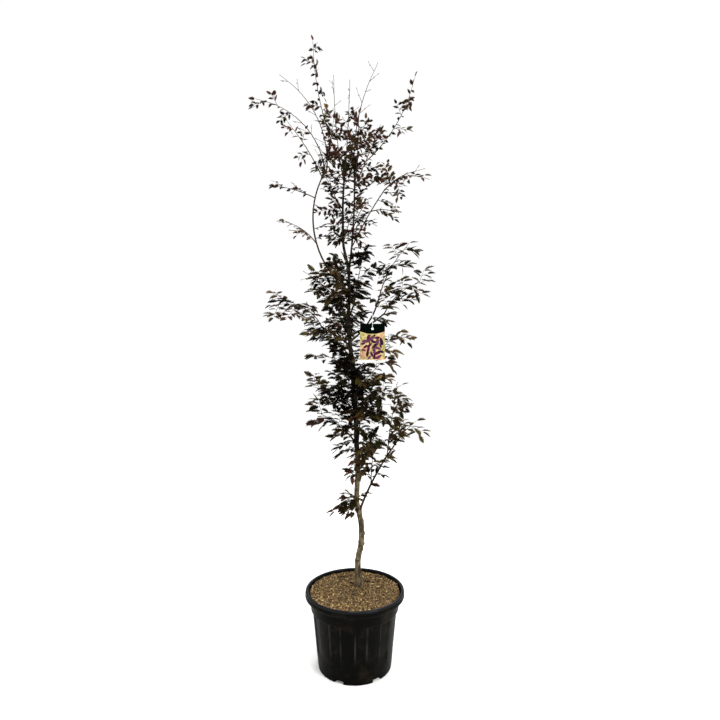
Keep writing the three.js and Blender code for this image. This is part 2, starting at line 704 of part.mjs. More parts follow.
// The pot's section, from the middle of its underside up the outside and down the inside
function potBody() {
  return turnedBody([
    [0, 0], [FOOT_RADIUS - FOOT_ROUNDING, 0], [FOOT_RADIUS, FOOT_ROUNDING],
    [WALL_TOP_RADIUS, COLLAR_FOOT], [COLLAR_RADIUS - 4, COLLAR_FOOT + 6],
    [COLLAR_RADIUS + 2, POT_HEIGHT - LIP_BAND - 2], [LIP_RADIUS - 4, POT_HEIGHT - LIP_BAND],
    [LIP_RADIUS, POT_HEIGHT - 15], [LIP_RADIUS - 2.5, POT_HEIGHT - 5], [LIP_RADIUS - 9, POT_HEIGHT],
    [LIP_MOUTH + 3, POT_HEIGHT], [LIP_MOUTH, POT_HEIGHT - 4], [LIP_MOUTH - 3, POT_HEIGHT - 34],
    [WALL_TOP_RADIUS - WALL_THICKNESS, COLLAR_FOOT],
    [FOOT_RADIUS - WALL_THICKNESS, FLOOR_THICKNESS], [0, FLOOR_THICKNESS],
  ]);
}

// A flute is a flat bay pressed into the wall
function fluteCutter(heading) {
  const height = FLUTE_TOP - FLUTE_FOOT;
  const geometry = new THREE.BoxGeometry(1, 1, height);
  const place = geometry.attributes.position;
  for (let i = 0; i < place.count; i += 1) {
    const level = place.getZ(i) > 0 ? FLUTE_TOP : FLUTE_FOOT;
    const wall = lerp(FOOT_RADIUS, WALL_TOP_RADIUS, level / COLLAR_FOOT);
    const bed = wall * Math.cos(degToRad(FLUTE_WIDTH / 2)) - FLUTE_DEPTH;
    const halfWidth = wall * Math.sin(degToRad(FLUTE_WIDTH / 2));
    const depth = place.getX(i) > 0 ? bed + FLUTE_OVERCUT : bed;
    place.setXYZ(i, depth, Math.sign(place.getY(i)) * halfWidth, level);
  }
  geometry.rotateZ(degToRad(heading));
  return solid(geometry);
}

function notchCutter(heading) {
  const box = new THREE.BoxGeometry(NOTCH_DEPTH * 2, NOTCH_WIDTH, NOTCH_HEIGHT * 2);
  box.translate(FOOT_RADIUS + NOTCH_OVERCUT, 0, 0);
  box.rotateZ(degToRad(heading));
  return solid(box);
}

function potSolid() {
  let pot = potBody();
  for (let i = 0; i < FLUTES; i += 1) {
    pot = pot.subtract(fluteCutter(FLUTE_FIRST + i * 360 / FLUTES));
  }
  for (let i = 0; i < NOTCHES; i += 1) {
    pot = pot.subtract(notchCutter(NOTCH_FIRST + i * 360 / NOTCHES));
  }
  return largestPiece(pot);
}

// The soil follows the pot's inside 0.3 mm clear, and rises from a level middle towards the wall
function soilSolid() {
  const wall = WALL_THICKNESS + GAP * 2;
  const edge = SOIL_LEVEL + MULCH_RISE;
  return turnedBody([
    [0, FLOOR_THICKNESS], [FOOT_RADIUS - wall, FLOOR_THICKNESS], [WALL_TOP_RADIUS - wall, COLLAR_FOOT],
    [LIP_MOUTH - 4, edge - 12], [LIP_MOUTH - 6, edge],
    [MULCH_LEVEL_RADIUS, SOIL_LEVEL], [0, SOIL_LEVEL],
  ]);
}

// Hang tag and its loop

function tagSolid() {
  const card = new THREE.Shape();
  const right = TAG_LEFT + TAG_WIDTH;
  const bottom = TAG_TOP - TAG_HEIGHT;
  card.moveTo(TAG_LEFT + TAG_CORNER, bottom);
  card.lineTo(right - TAG_CORNER, bottom);
  card.absarc(right - TAG_CORNER, bottom + TAG_CORNER, TAG_CORNER, -Math.PI / 2, 0);
  card.absarc(right - TAG_CORNER, TAG_TOP - TAG_CORNER, TAG_CORNER, 0, Math.PI / 2);
  card.absarc(TAG_LEFT + TAG_CORNER, TAG_TOP - TAG_CORNER, TAG_CORNER, Math.PI / 2, Math.PI);
  card.absarc(TAG_LEFT + TAG_CORNER, bottom + TAG_CORNER, TAG_CORNER, Math.PI, Math.PI * 1.5);
  const hole = new THREE.Path();
  hole.absarc(TAG_LEFT + TAG_WIDTH / 2, TAG_TOP - HOLE_DROP, HOLE_RADIUS, 0, Math.PI * 2, true);
  card.holes.push(hole);
  const geometry = new THREE.ExtrudeGeometry(card, {
    depth: TAG_THICKNESS, bevelEnabled: false, curveSegments: 4,
  });
  geometry.rotateX(Math.PI / 2);
  geometry.translate(0, TAG_DEPTH + TAG_THICKNESS / 2, 0);
  return solid(geometry);
}

// An oval standing in one plane, leaning from its bottom to its top, with a ring at both
class LoopPath extends THREE.Curve {
  constructor(across, bottom, top) {
    super();
    Object.assign(this, { across, bottom, top });
  }

  getPoint(share, target = new THREE.Vector3()) {
    const angle = share * Math.PI * 2;
    const middle = this.bottom.clone().lerp(this.top, (Math.sin(angle) + 1) / 2);
    return target.set(this.across, middle.x + LOOP_REACH * Math.cos(angle), middle.y);
  }

  getPointAt(share, target) {
    return this.getPoint(share, target);
  }

  getTangentAt(share, target) {
    return this.getTangent(share, target);
  }
}

// The loop hangs over the bough that grows behind the tag, and runs down through the tag's hole
function loopSolid() {
  const { points, radii } = limbs.bough_tag;
  const across = TAG_LEFT + TAG_WIDTH / 2;
  const next = points.findIndex((point) => point.x >= across);
  const low = points[next - 1];
  const way = points[next].clone().sub(low).normalize();
  const held = low.clone().addScaledVector(way, (across - low.x) / way.x);
  const top = held.z + (radii[next - 1] + LOOP_WIRE) / way.x;
  const bottom = TAG_TOP - HOLE_DROP + HOLE_RADIUS - LOOP_WIRE - LOOP_SLACK;
  const path = new LoopPath(across, new THREE.Vector2(TAG_DEPTH, bottom), new THREE.Vector2(held.y, top));
  return solid(new THREE.TubeGeometry(path, LOOP_POINTS, LOOP_WIRE, LOOP_SIDES, true));
}

// Assembly

const tree = new THREE.Group();

function addPiece(name, manifold, colour, roughness) {
  const material = new THREE.MeshStandardMaterial({ color: colour, roughness, metalness: 0 });
  const mesh = new THREE.Mesh(geometryOf(manifold), material);
  mesh.name = name;
  tree.add(mesh);
}

growTrunk();
Object.keys(BOUGHS).forEach(growBough);
for (const name of Object.keys(MASSES)) {
  stems[name] = stemOf(name);
}
const limbSamples = sampleLimbs();

addPiece('pot', potSolid(), COLOURS.plastic, 0.45);
addPiece('soil', soilSolid(), COLOURS.mulch, 0.95);
addPiece('trunk', limbSolid(limbs.trunk), COLOURS.bark, 0.85);
for (const name of Object.keys(BOUGHS)) {
  addPiece(name, cutFromParent(limbSolid(limbs[name]), limbs[name].parent), COLOURS.twig, 0.8);
}
Object.keys(MASSES).forEach((name, index) => {
  addPiece(name, massSolid(name, index + 1), COLOURS.leaf, 0.6);
});
addPiece('hang_tag', tagSolid(), COLOURS.card, 0.4);
addPiece('tag_loop', loopSolid(), COLOURS.loop, 0.3);

export default tree;
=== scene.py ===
"""A young cut-leaved purple beech in a black nursery pot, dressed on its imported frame."""
import math

import bpy
import numpy as np
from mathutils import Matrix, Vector, noise


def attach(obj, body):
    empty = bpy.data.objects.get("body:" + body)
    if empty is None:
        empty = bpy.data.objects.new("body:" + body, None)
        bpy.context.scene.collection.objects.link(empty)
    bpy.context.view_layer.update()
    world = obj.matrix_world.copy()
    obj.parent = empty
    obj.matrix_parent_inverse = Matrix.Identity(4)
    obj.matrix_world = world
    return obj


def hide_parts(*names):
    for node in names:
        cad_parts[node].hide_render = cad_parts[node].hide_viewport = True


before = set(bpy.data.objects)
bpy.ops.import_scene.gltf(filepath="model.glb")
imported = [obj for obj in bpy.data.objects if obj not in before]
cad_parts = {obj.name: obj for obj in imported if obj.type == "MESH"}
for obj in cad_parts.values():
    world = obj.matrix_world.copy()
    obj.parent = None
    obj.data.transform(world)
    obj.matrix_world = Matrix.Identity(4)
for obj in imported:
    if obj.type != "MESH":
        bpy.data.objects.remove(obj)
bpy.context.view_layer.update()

# Lengths are millimetres until a mesh is made. A heading is a compass angle seen from above:
# 0 right, 90 back, 180 left, 270 front. A rise is an angle above level.
METRES = 0.001
UP = np.array([0.0, 0.0, 1.0])
GOLDEN_ANGLE = 137.5
CROWN_SEED = 27000
rng = np.random.default_rng(CROWN_SEED)

# Pot
POT_HEIGHT = 378
LIP_RADIUS = 250
FOOT_RADIUS = 184
WALL_TOP_RADIUS = 213
COLLAR_FOOT = 285
FLUTES, FLUTE_FIRST, FLUTE_WIDTH, FLUTE_DEPTH = 10, 279, 16, 3.5
FLUTE_TOP, FLUTE_FOOT, FLUTE_RUN_OUT, FLUTE_EDGE = 281, 60, 45, 0.45
NOTCHES, NOTCH_FIRST, NOTCH_WIDTH, NOTCH_HEIGHT, NOTCH_BED = 6, 246, 48, 17, 162
SOIL_LEVEL, SOIL_EDGE = 362, 365

# Trunk: sway gives how far right its axis lies at each height
TRUNK_FOOT, TRUNK_TIP = 362.3, 2500
TRUNK_SWAY = [
    (362, 20), (490, 15), (610, 34), (670, 33), (820, 9), (980, 15), (1200, 5), (1500, -13),
    (1710, -35), (1850, -30), (1960, -31), (2150, -61), (2300, -62), (2500, -54),
]
TRUNK_DEPTH = (43, 27)
TRUNK_WIDTH = (31, 9)
TRUNK_TAPER = 1.2
ROOT_FLARE, ROOT_FLARE_HEIGHT = 9, 40
# The axis has this many steps, closer together low down by this power
TRUNK_RINGS, TRUNK_RINGS_LOW = 28, 1.15
TRUNK_BURIED = 354
TRUNK_RING_STEP, TRUNK_SIDES, TRUNK_RELIEF = 3.0, 40, 0.45
# Heights in metres over which the trunk's bark turns to painted shade under the crown
PAINTED_SHADE_HEIGHT = (0.84, 1.16)

# Boughs: parent, height on it, heading, first and last rise, length, width at foot and tip
BOUGHS = {
    "leader_left": ("trunk", 1880, 183, 38, 122, 700, 13, 8),
    "leader_right": ("trunk", 1975, 15, 82, 92, 545, 12, 8),
    "bough_low_right": ("trunk", 748, 350, 70, 54, 420, 15, 8),
    "bough_low_left": ("trunk", 1093, 195, 60, 40, 110, 10, 8),
    "bough_low_front": ("trunk", 1010, 262, 50, 30, 110, 10, 8),
    "bough_low_back": ("trunk", 1060, 82, 60, 44, 130, 10, 8),
    "bough_mid_left": ("trunk", 1600, 172, 42, 24, 180, 10, 8),
    "bough_mid_front": ("trunk", 1540, 250, 50, 36, 130, 10, 8),
    "bough_mid_back": ("trunk", 1620, 100, 50, 36, 150, 10, 8),
    "bough_mid_right": ("trunk", 1650, 14, 26, 40, 230, 10, 8),
    "bough_tag": ("trunk", 1622, 357, 36, 76, 270, 10, 8),
    "bough_right_inner": ("trunk", 1745, 30, 58, 84, 130, 9, 8),
    "bough_high_right": ("leader_right", 2105, 355, 65, 55, 340, 9, 8),
}
BOUGH_STEP = 70
BOUGH_RING_STEP, BOUGH_SIDES, BOUGH_RELIEF = 4, 16, 0.22
COLLAR_SWELLING, COLLAR_LENGTH = 0.55, 9
# How wide the trunk swells where a bough or a mass leaves it, and how far it stands out there
COLLAR_SHARE, COLLAR_OUT, TWIG_COLLAR_SIZE, TWIG_COLLAR_OUT = 0.9, 2.4, 6, 1.6
SCAR_FIRST, SCAR_EVERY, SCAR_SIZE, SCAR_OUT = 9, 11, 5, 0.9
# Limbs that are slimmer under their bark than the solid they stand for
SLIMMER = {"leader_left": 0.8, "bough_high_right": 0.68, "leader_right": 0.9, "bough_low_right": 0.9}

# Foliage: limb, height on it or its tip, heading, first and last rise, length, reach of its
# side twigs, how far its twigs turn round the stem, how full it is. Where it isn't in leaf all
# over, four more numbers say from which to which share of its stem it is, how many of the twigs
# there are in leaf, and how much longer they grow. The rest is bare, as on the shoots at the top.
MASSES = {
    "mass_foot_left": ("trunk", 800, 205, 30, -50, 105, 60, 0, 1),
    "mass_low_right_inner": ("bough_low_right", 890, 20, 85, 88, 230, 100, 0.7, 0.9),
    "mass_low_right_outer": ("bough_low_right", 1040, 350, 84, 80, 290, 90, 0.7, 0.9),
    "mass_low_right_tip": ("bough_low_right", "tip", 350, 58, 40, 120, 90, 0.2, 0.9),
    "mass_low_left": ("bough_low_left", "tip", 190, 44, 26, 150, 110, 0.2, 1),
    "mass_low_front": ("bough_low_front", "tip", 288, 24, -14, 200, 120, 0.2, 1),
    "mass_low_back": ("bough_low_back", "tip", 85, 40, 10, 240, 130, 0.2, 1),
    "mass_mid_low_right": ("trunk", 1195, 350, 55, 30, 290, 120, 0.2, 1, 0, 1, 0.8, 0.9),
    "mass_mid_low_left": ("trunk", 1270, 165, 50, 8, 240, 130, 0.2, 1),
    "mass_mid_low_front": ("trunk", 1230, 297, 56, 16, 270, 130, 0.2, 1, 0, 1, 0.9, 0.75),
    "mass_mid_low_back": ("trunk", 1320, 110, 54, 14, 300, 130, 0.2, 1),
    "mass_near_right": ("trunk", 1340, 25, 56, 40, 250, 120, 0.3, 1),
    "mass_tag_side": ("trunk", 1470, 10, 36, 44, 300, 110, 0.2, 0.9),
    "mass_mid_left_lower": ("trunk", 1440, 205, 50, 15, 270, 130, 0.2, 1, 0, 0.7, 0.7, 0.8),
    "mass_near_left": ("trunk", 1540, 168, 50, 15, 260, 120, 0.3, 1, 0, 0.85, 0.85, 0.8),
    "mass_mid_left_tip": ("bough_mid_left", "tip", 175, 66, -12, 290, 130, 0.2, 0.95),
    "mass_mid_left_upper": ("trunk", 1730, 190, 68, 30, 310, 130, 0.2, 0.9, 0, 0.85, 0.9, 0.8),
    "mass_mid_front": ("bough_mid_front", "tip", 255, 34, 8, 230, 130, 0.2, 1),
    "mass_mid_back": ("bough_mid_back", "tip", 95, 34, 8, 250, 130, 0.2, 1),
    "mass_mid_right_tip": ("bough_mid_right", "tip", 356, 66, 14, 260, 120, 0.2, 0.9, 0.05, 1, 0.95, 0.9),
    "mass_right_high": ("bough_tag", "tip", 350, 76, 48, 300, 110, 0.4, 0.9, 0.05, 1, 1, 0.95),
    "mass_right_inner": ("bough_right_inner", "tip", 30, 80, 75, 210, 100, 0.7, 0.9),
    "mass_upper_front": ("trunk", 1800, 250, 58, 24, 280, 125, 0.2, 1),
    "mass_upper_back": ("trunk", 1850, 100, 60, 24, 290, 125, 0.2, 1),
    "mass_left_tips": ("leader_left", 2121, 180, 56, 20, 180, 90, 0.2, 0.8, 0.1, 1, 1, 1.3),
    "mass_left_high": ("leader_left", 2357, 172, 28, 12, 200, 60, 0.2, 0.75, 0.05, 1, 0.8, 1),
    "mass_column_front": ("trunk", 2130, 300, 62, 42, 240, 100, 0.4, 0.9),
    "mass_column_back": ("leader_right", 2200, 65, 60, 36, 240, 100, 0.4, 0.9, 0, 1, 0.8, 0.8),
    "mass_column_left": ("trunk", 2260, 225, 64, 50, 200, 90, 0.4, 0.8),
    "mass_high_right_low": ("bough_high_right", 2290, 335, 8, -20, 120, 70, 0, 0.8, 0.1, 1, 1, 1.1),
    "mass_high_right_tip": ("bough_high_right", "tip", 355, 50, 8, 200, 80, 0.2, 0.8, 0, 0.85, 1, 1.5),
    "mass_top_left": ("leader_left", 2420, 320, 62, 80, 300, 120, 0.8, 1, 0.25, 1, 1, 0.5),
    "mass_top_right": ("leader_right", 2400, 285, 64, 86, 340, 120, 0.8, 1, 0, 1, 1, 0.7),
    "shoot_top": ("trunk", "tip", 174, 64, 88, 675, 80, 0.8, 0.78, 0.24, 1, 0.8, 0.8),
    "shoot_back": ("trunk", 2440, 118, 68, 88, 590, 130, 0.8, 0.85, 0, 0.26, 1, 1),
    "shoot_left_upright": ("leader_left", "tip", 180, 94, 36, 530, 90, 0.8, 0.78, 0.3, 0.62, 0.4, 0.8),
    "shoot_left_wide": ("leader_left", 2490, 180, 84, 12, 530, 70, 0.8, 0.75, 0.66, 1, 1, 1.3),
    "shoot_left_low": ("leader_left", 2462, 198, 64, 48, 290, 70, 0.4, 0.75, 0.42, 1, 0.9, 0.9),
    "shoot_right_upright": ("leader_right", "tip", 10, 92, 64, 540, 130, 0.8, 0.85, 0, 0.24, 0.8, 1),
    "shoot_right_wide": ("leader_right", 2500, 352, 34, 76, 540, 70, 0.5, 0.75, 0.26, 1, 0.9, 0.9),
    "shoot_right_back": ("leader_right", 2420, 40, 62, 66, 380, 80, 0.8, 0.75, 0, 0.85, 1, 1.2),
    "shoot_front": ("trunk", 2380, 280, 52, 76, 480, 120, 0.8, 0.9, 0, 0.46, 1, 1),
}

# Short leafy twigs straight on a limb: height on it, heading, rise, length. A sprout's number in
# the list picks its random draws.
SPROUTS = [
    ("trunk", [
        (824, 196, 35, 46), (812, 176, 12, 66), (800, 212, -12, 62), (792, 188, -34, 66),
        (778, 204, -48, 52), (826, 20, 30, 34), (940, 186, 38, 46), (962, 330, 20, 40),
        (1040, 110, -10, 50), (1085, 175, -20, 80), (1100, 335, 10, 60), (1120, 200, -12, 100),
        (1150, 180, 0, 110), (1160, 350, -4, 90), (1190, 215, -5, 90),
    ]),
    ("bough_low_right", [(812, 200, 30, 34), (945, 352, 4, 30)]),
    ("trunk", [
        (1400, 190, 0, 130), (1360, 200, -5, 110), (1520, 20, 30, 90), (1570, 352, 20, 70),
        (1615, 10, 10, 60), (1660, 30, 25, 60), (1690, 345, 15, 70), (1730, 5, 40, 80), (1580, 230, 20, 80),
        (1500, 240, 20, 80), (1590, 190, 30, 80), (1650, 210, 30, 70), (1700, 170, 30, 80),
    ]),
    ("bough_tag", [(1745, 0, -10, 60), (1770, 180, 10, 50), (1800, 5, 5, 70), (1830, 175, 20, 60)]),
    ("bough_mid_right", [(1735, 340, 0, 60), (1755, 10, 30, 60)]),
    ("leader_right", [
        (2150, 200, 40, 60), (2240, 10, 40, 70), (2290, 5, 50, 100), (2320, 190, 40, 60),
        (2350, 350, 50, 110), (2410, 5, 45, 90),
    ]),
    ("bough_high_right", [(2345, 350, -10, 50), (2385, 355, 0, 70)]),
    ("trunk", [
        (2200, 180, 30, 60), (2300, 200, 40, 80), (2360, 10, 40, 70), (2420, 190, 40, 80),
        (2380, 185, 15, 90), (2405, 205, 5, 90), (2450, 190, 10, 80), (2020, 350, 25, 80),
        (2060, 15, 20, 90), (2130, 10, 30, 70), (2180, 350, 20, 80),
    ]),
    ("leader_right", [(2060, 5, 20, 90), (2100, 355, 10, 90)]),
    ("leader_left", [
        (2150, 0, 20, 70), (2200, 10, 20, 60), (1930, 190, -30, 90), (1960, 180, -20, 90),
        (1990, 200, -30, 80),
    ]),
    ("trunk", [(1640, 190, 0, 100)]),
    ("bough_mid_left", [(1640, 200, 10, 70), (1670, 180, -20, 80), (1690, 185, -10, 80)]),
    ("trunk", [(1560, 320, 0, 60)]),
]

# The rule that the twigs of a mass grow by
STEM_STEP = 60
SPRAY_ROLL = 45
TWIG_STEP, TWIG_FIRST, TWIG_ROLL, TWIG_TURN = 44, 0.75, 50, 70
TWIG_ANGLE, TWIG_ANGLE_SPREAD = 50, 20
TWIG_SHORTEN, TWIG_DROOP = 0.6, 0.12
# Where in its stem's row of scattered numbers each choice begins
LOT_ROLL, LOT_SPRAY, LOT_ANGLE, LOT_LENGTH, LOT_STEM_ROLL = 0, 7, 40, 80, 900

# Finer growth on the same twigs
TWIG_LONGER = 24
STEM_LONGER = 26
INNER_REACH, INNER_ROLL, INNER_ANGLE = (70, 130), 70, (60, 105)
TWIG_SAG, BARE_TWIG_SAG = 0.10, -0.06
BARE_TWIG_SHARE = 0.8
# A mass that is in leaf over less of its stem than this ends where its leaves do
SHORT_STEM = 0.8
WOOD_STEP = 14
STEM_ZIGZAG, TWIG_ZIGZAG, TWIG_BEND = 0.9, 0.7, 0.05
SPUR_FREE_TIP, SPUR_STEP, SPUR_ANGLE = 20, 38, (38, 58)
SPUR_LENGTH = (20, 42)
LEAF_ANGLE, LEAF_ANGLE_SPREAD = 52, 12
LEAF_SLIM = 0.54
LEAF_SIZES, SPARSE_LEAF_SIZE = (0.78, 1.15), 0.86
LEAF_STRAY, LEAF_HANG, LEAF_FACING = 0.12, (-0.06, 0.20), 0.3
STEM_LEAF_SPACING, STEM_LEAF_ROLL, STEM_LEAF_DROOP, STEM_LEAVES_ALIKE = 1.5, 60, 0.28, 3
STEM_RADIUS, STOUT_FOOT, FOOT_TAPER = (3.1, 1.1), 3.9, 12
TWIG_RADIUS = (1.5, 0.75)
SPUR_RADIUS = (0.95, 0.55)
TWIG_SIDES = 5
BUD_LENGTH, BUD_RADIUS, BUD_STALK = 13, 1.5, 3
TAG_CLEARANCE, FRONT_CLEARANCE, POT_CLEARANCE = 10, 8, 15
# Short twigs inside a mass: how many, on which part of its stem, whether all turn to the right
INNER_TWIGS = {
    "mass_top_left": (5, (0.3, 0.95), True),
    "mass_top_right": (2, (0.3, 0.95), False),
    "mass_high_right_tip": (5, (0, 0.4), False),
    "mass_low_right_outer": (3, (0.4, 1), True),
    "others": (3, (0.02, 0.28), False),
}

# Hang tag
TAG_LEFT, TAG_WIDTH, TAG_TOP, TAG_HEIGHT, TAG_DEPTH = 26, 127, 1715, 198, 18
TAG_THICKNESS = 1.6
TAG_FRONT = TAG_DEPTH - TAG_THICKNESS / 2
TAG_MIDDLE = TAG_LEFT + TAG_WIDTH / 2
PICTURE_TOP, PICTURE_FOOT = 1663, 1531
HOLE_RADIUS, HOLE_DROP = 7, 26
LOOP_WIRE, LOOP_REACH, LOOP_SLACK = 1.3, 15, 0.7
LOOP_STEPS, LOOP_SIDES = 72, 10


# Numbers and vectors

def scatter(seed, index):
    wave = math.sin(seed * 127.1 + index * 311.7) * 43758.5453
    return wave - math.floor(wave)


def spread(seed, index, width):
    return (scatter(seed, index) - 0.5) * width


def reseed(number):
    """Each mass has its own draws, so a change to one leaves the others as they are."""
    rng.bit_generator.state = np.random.default_rng(CROWN_SEED + number).bit_generator.state


def lerp(low, high, share):
    return low + (high - low) * share


def smoothstep(value, low, high):
    share = np.clip((value - low) / (high - low), 0, 1)
    return share * share * (3 - 2 * share)


def unit(vector):
    return vector / np.linalg.norm(vector)


def compass(heading):
    angle = math.radians(heading)
    return np.array([math.cos(angle), math.sin(angle), 0.0])


def rotated(vector, axis, degrees):
    angle = math.radians(degrees)
    return (vector * math.cos(angle) + np.cross(axis, vector) * math.sin(angle)
            + axis * np.dot(axis, vector) * (1 - math.cos(angle)))


def round_turns(count):
    """Angles evenly spaced all the way round."""
    return np.arange(count) * 2 * math.pi / count


def rough(points, size, seed=0.0):
    """Smooth noise from about -1 to 1 at each point, with features about size across."""
    shift = Vector((seed * 13.7, seed * 7.3, seed * 3.1))
    return np.array([noise.noise(Vector(point) / size + shift) for point in points])


# Meshes

def placed(name, data):
    thing = bpy.data.objects.new(name, data)
    bpy.context.scene.collection.objects.link(thing)
    return thing


class Heap:
    """Points and faces gathered from many small parts, which become one piece."""

    def __init__(self):
        self.points, self.faces, self.finishes, self.count = [], [], [], 0

    def add(self, points, *face_sets, finish=0):
        """Sets of faces on the same new points; finish is one number, or one for each face."""
        for faces in face_sets:
            self.faces.append(np.asarray(faces) + self.count)
            self.finishes.append(np.broadcast_to(finish, len(faces)))
        self.points.append(points)
        self.count += len(points)

    def add_rings(self, rings, foot, top, downward=False):
        """A closed skin over rings of points, with one more point in the middle of each end."""
        count, sides = rings.shape[:2]
        last = count * sides
        here = np.arange(sides)
        after = (here + 1) % sides
        foot_cap = np.stack([after, here, np.full(sides, last)], axis=-1)
        top_cap = np.stack([here + last - sides, after + last - sides, np.full(sides, last + 1)], axis=-1)
        skin = ring_faces(count, sides), np.concatenate([foot_cap, top_cap])
        if downward:
            skin = [faces[:, ::-1] for faces in skin]
        self.add(np.concatenate([rings.reshape(-1, 3), [foot, top]]), *skin)

    def piece(self, name, materials, slot, smooth=True, replaced=()):
        mesh = bpy.data.meshes.new(name)
        corners = [face for faces in self.faces for face in faces.tolist()]
        mesh.from_pydata(np.concatenate(self.points) * METRES, [], corners)
        for material in materials:
            mesh.materials.append(material)
        mesh.polygons.foreach_set("material_index", np.concatenate(self.finishes).astype(np.int32))
        mesh.polygons.foreach_set("use_smooth", np.full(len(corners), smooth))
        mesh.validate()
        piece = placed(name, mesh)
        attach(piece, "root")
        if replaced:
            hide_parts(*replaced)


def ring_faces(rings, sides):
    """Quads between rings of points that are closed round."""
    ring = np.arange(rings - 1)[:, None] * sides
    here = np.arange(sides)[None, :]
    after = (here + 1) % sides
    quads = np.stack([ring + here, ring + after, ring + sides + after, ring + sides + here], axis=-1)
    return quads.reshape(-1, 4)


def circled(path, sides):
    """Unit vectors square to the path all round it, at each of its points, without twisting."""
    ways = np.gradient(path, axis=0)
    ways /= np.linalg.norm(ways, axis=1)[:, None]
    across = np.cross(ways[0], UP if abs(ways[0][2]) < 0.9 else np.array([0.0, 1.0, 0.0]))
    turns = round_turns(sides)
    circles = []
    for way in ways:
        across = unit(across - way * np.dot(across, way))
        circles.append(np.cos(turns)[:, None] * across + np.sin(turns)[:, None] * np.cross(way, across))
    return np.array(circles)


def add_tube(heap, path, radii, sides):
    """A round rod with closed ends along a path."""
    heap.add_rings(path[:, None] + circled(path, sides) * radii[:, None, None], path[0], path[-1])


def smooth_path(points, step):
    """A rounded path through the same points, with more of them."""
    points = np.asarray(points)
    padded = np.concatenate([[2 * points[0] - points[1]], points, [2 * points[-1] - points[-2]]])
    spots = []
    for i in range(len(points) - 1):
        before, low, high, after = padded[i:i + 4]
        count = max(1, round(np.linalg.norm(high - low) / step))
        for t in np.arange(count) / count:
            spots.append(0.5 * (2 * low + (high - before) * t
                                + (2 * before - 5 * low + 4 * high - after) * t ** 2
                                + (3 * low - before - 3 * high + after) * t ** 3))
    return np.array(spots + [points[-1]])


# Materials

def tone(red, green, blue):
    """A colour from 0 to 255 as a screen shows it, as the shader wants it."""
    def linear(value):
        value /= 255
        return value / 12.92 if value <= 0.04045 else ((value + 0.055) / 1.055) ** 2.4
    return (linear(red), linear(green), linear(blue), 1.0)


class Value:
    """A socket that can be reckoned with: an expression on it adds its Math nodes."""

    def __init__(self, finish, socket):
        self.finish, self.socket = finish, socket

    def reckon(self, operation, first, second):
        return self.finish.node("Math", {"operation": operation}, {0: first, 1: second})

    def __add__(self, other):
        return self.reckon("ADD", self, other)

    def __radd__(self, other):
        return self.reckon("ADD", other, self)

    def __sub__(self, other):
        return self.reckon("SUBTRACT", self, other)

    def __rsub__(self, other):
        return self.reckon("SUBTRACT", other, self)

    def __mul__(self, other):
        return self.reckon("MULTIPLY", self, other)

    def __rmul__(self, other):
        return self.reckon("MULTIPLY", other, self)


class Finish:
    """A material: its shader, and the nodes that vary it over the surface."""

    def __init__(self, name, **fixed):
        self.material = bpy.data.materials.new(name)
        self.material.use_nodes = True
        self.nodes = self.material.node_tree.nodes
        self.links = self.material.node_tree.links
        self.nodes.clear()
        output = self.nodes.new("ShaderNodeOutputMaterial")
        self.shader = self.nodes.new("ShaderNodeBsdfPrincipled")
        self.links.new(self.shader.outputs["BSDF"], output.inputs["Surface"])
        for socket, value in fixed.items():
            self.set(socket.replace("_", " "), value)
        self.place = self.node("TexCoord", output="Object")

    def node(self, kind, settings=None, inputs=None, output=0):
        """Any node: its settings first, then the values or links of its sockets."""
        node = self.nodes.new("ShaderNode" + kind)
        for key, value in (settings or {}).items():
            setattr(node, key, value)
        for key, value in (inputs or {}).items():
            self.feed(node.inputs[key], value)
        return Value(self, node.outputs[output])

    def feed(self, socket, value):
        """Links a value to a socket, or sets the socket to a number, vector or screen colour."""
        if isinstance(value, Value):
            self.links.new(value.socket, socket)
        else:
            socket.default_value = tone(*value) if socket.type == "RGBA" else value

    def set(self, socket, value):
        self.feed(self.shader.inputs[socket], value)

    def axes(self):
        split = self.node("SeparateXYZ", None, {0: self.place}).socket.node
        return [Value(self, output) for output in split.outputs]

    def noise(self, scale, detail=4, roughness=0.55, stretch=None):
        place = self.place
        if stretch:
            place = self.node("VectorMath", {"operation": "MULTIPLY"}, {0: place, 1: stretch})
        return self.node("TexNoise", None, {
            "Vector": place, "Scale": scale, "Detail": detail, "Roughness": roughness,
        })

    def mask(self, value, low, high):
        """From 0 where value is low to 1 where it is high."""
        return self.node("MapRange", {"interpolation_type": "SMOOTHSTEP"}, {
            "Value": value, "From Min": low, "From Max": high,
        })

    def mix(self, under, over, mask):
        return self.node("Mix", {"data_type": "RGBA"}, {0: mask, 6: under, 7: over}, output=2)

    def dress(self, colour, roughness, relief=None, depth=0.0, strength=1.0):
        """The shader's colour, roughness and relief, whose depth is in metres."""
        self.set("Base Color", colour)
        self.set("Roughness", roughness)
        if relief:
            heights = {"Height": relief, "Distance": depth, "Strength": strength}
            self.set("Normal", self.node("Bump", None, heights))
        return self.material


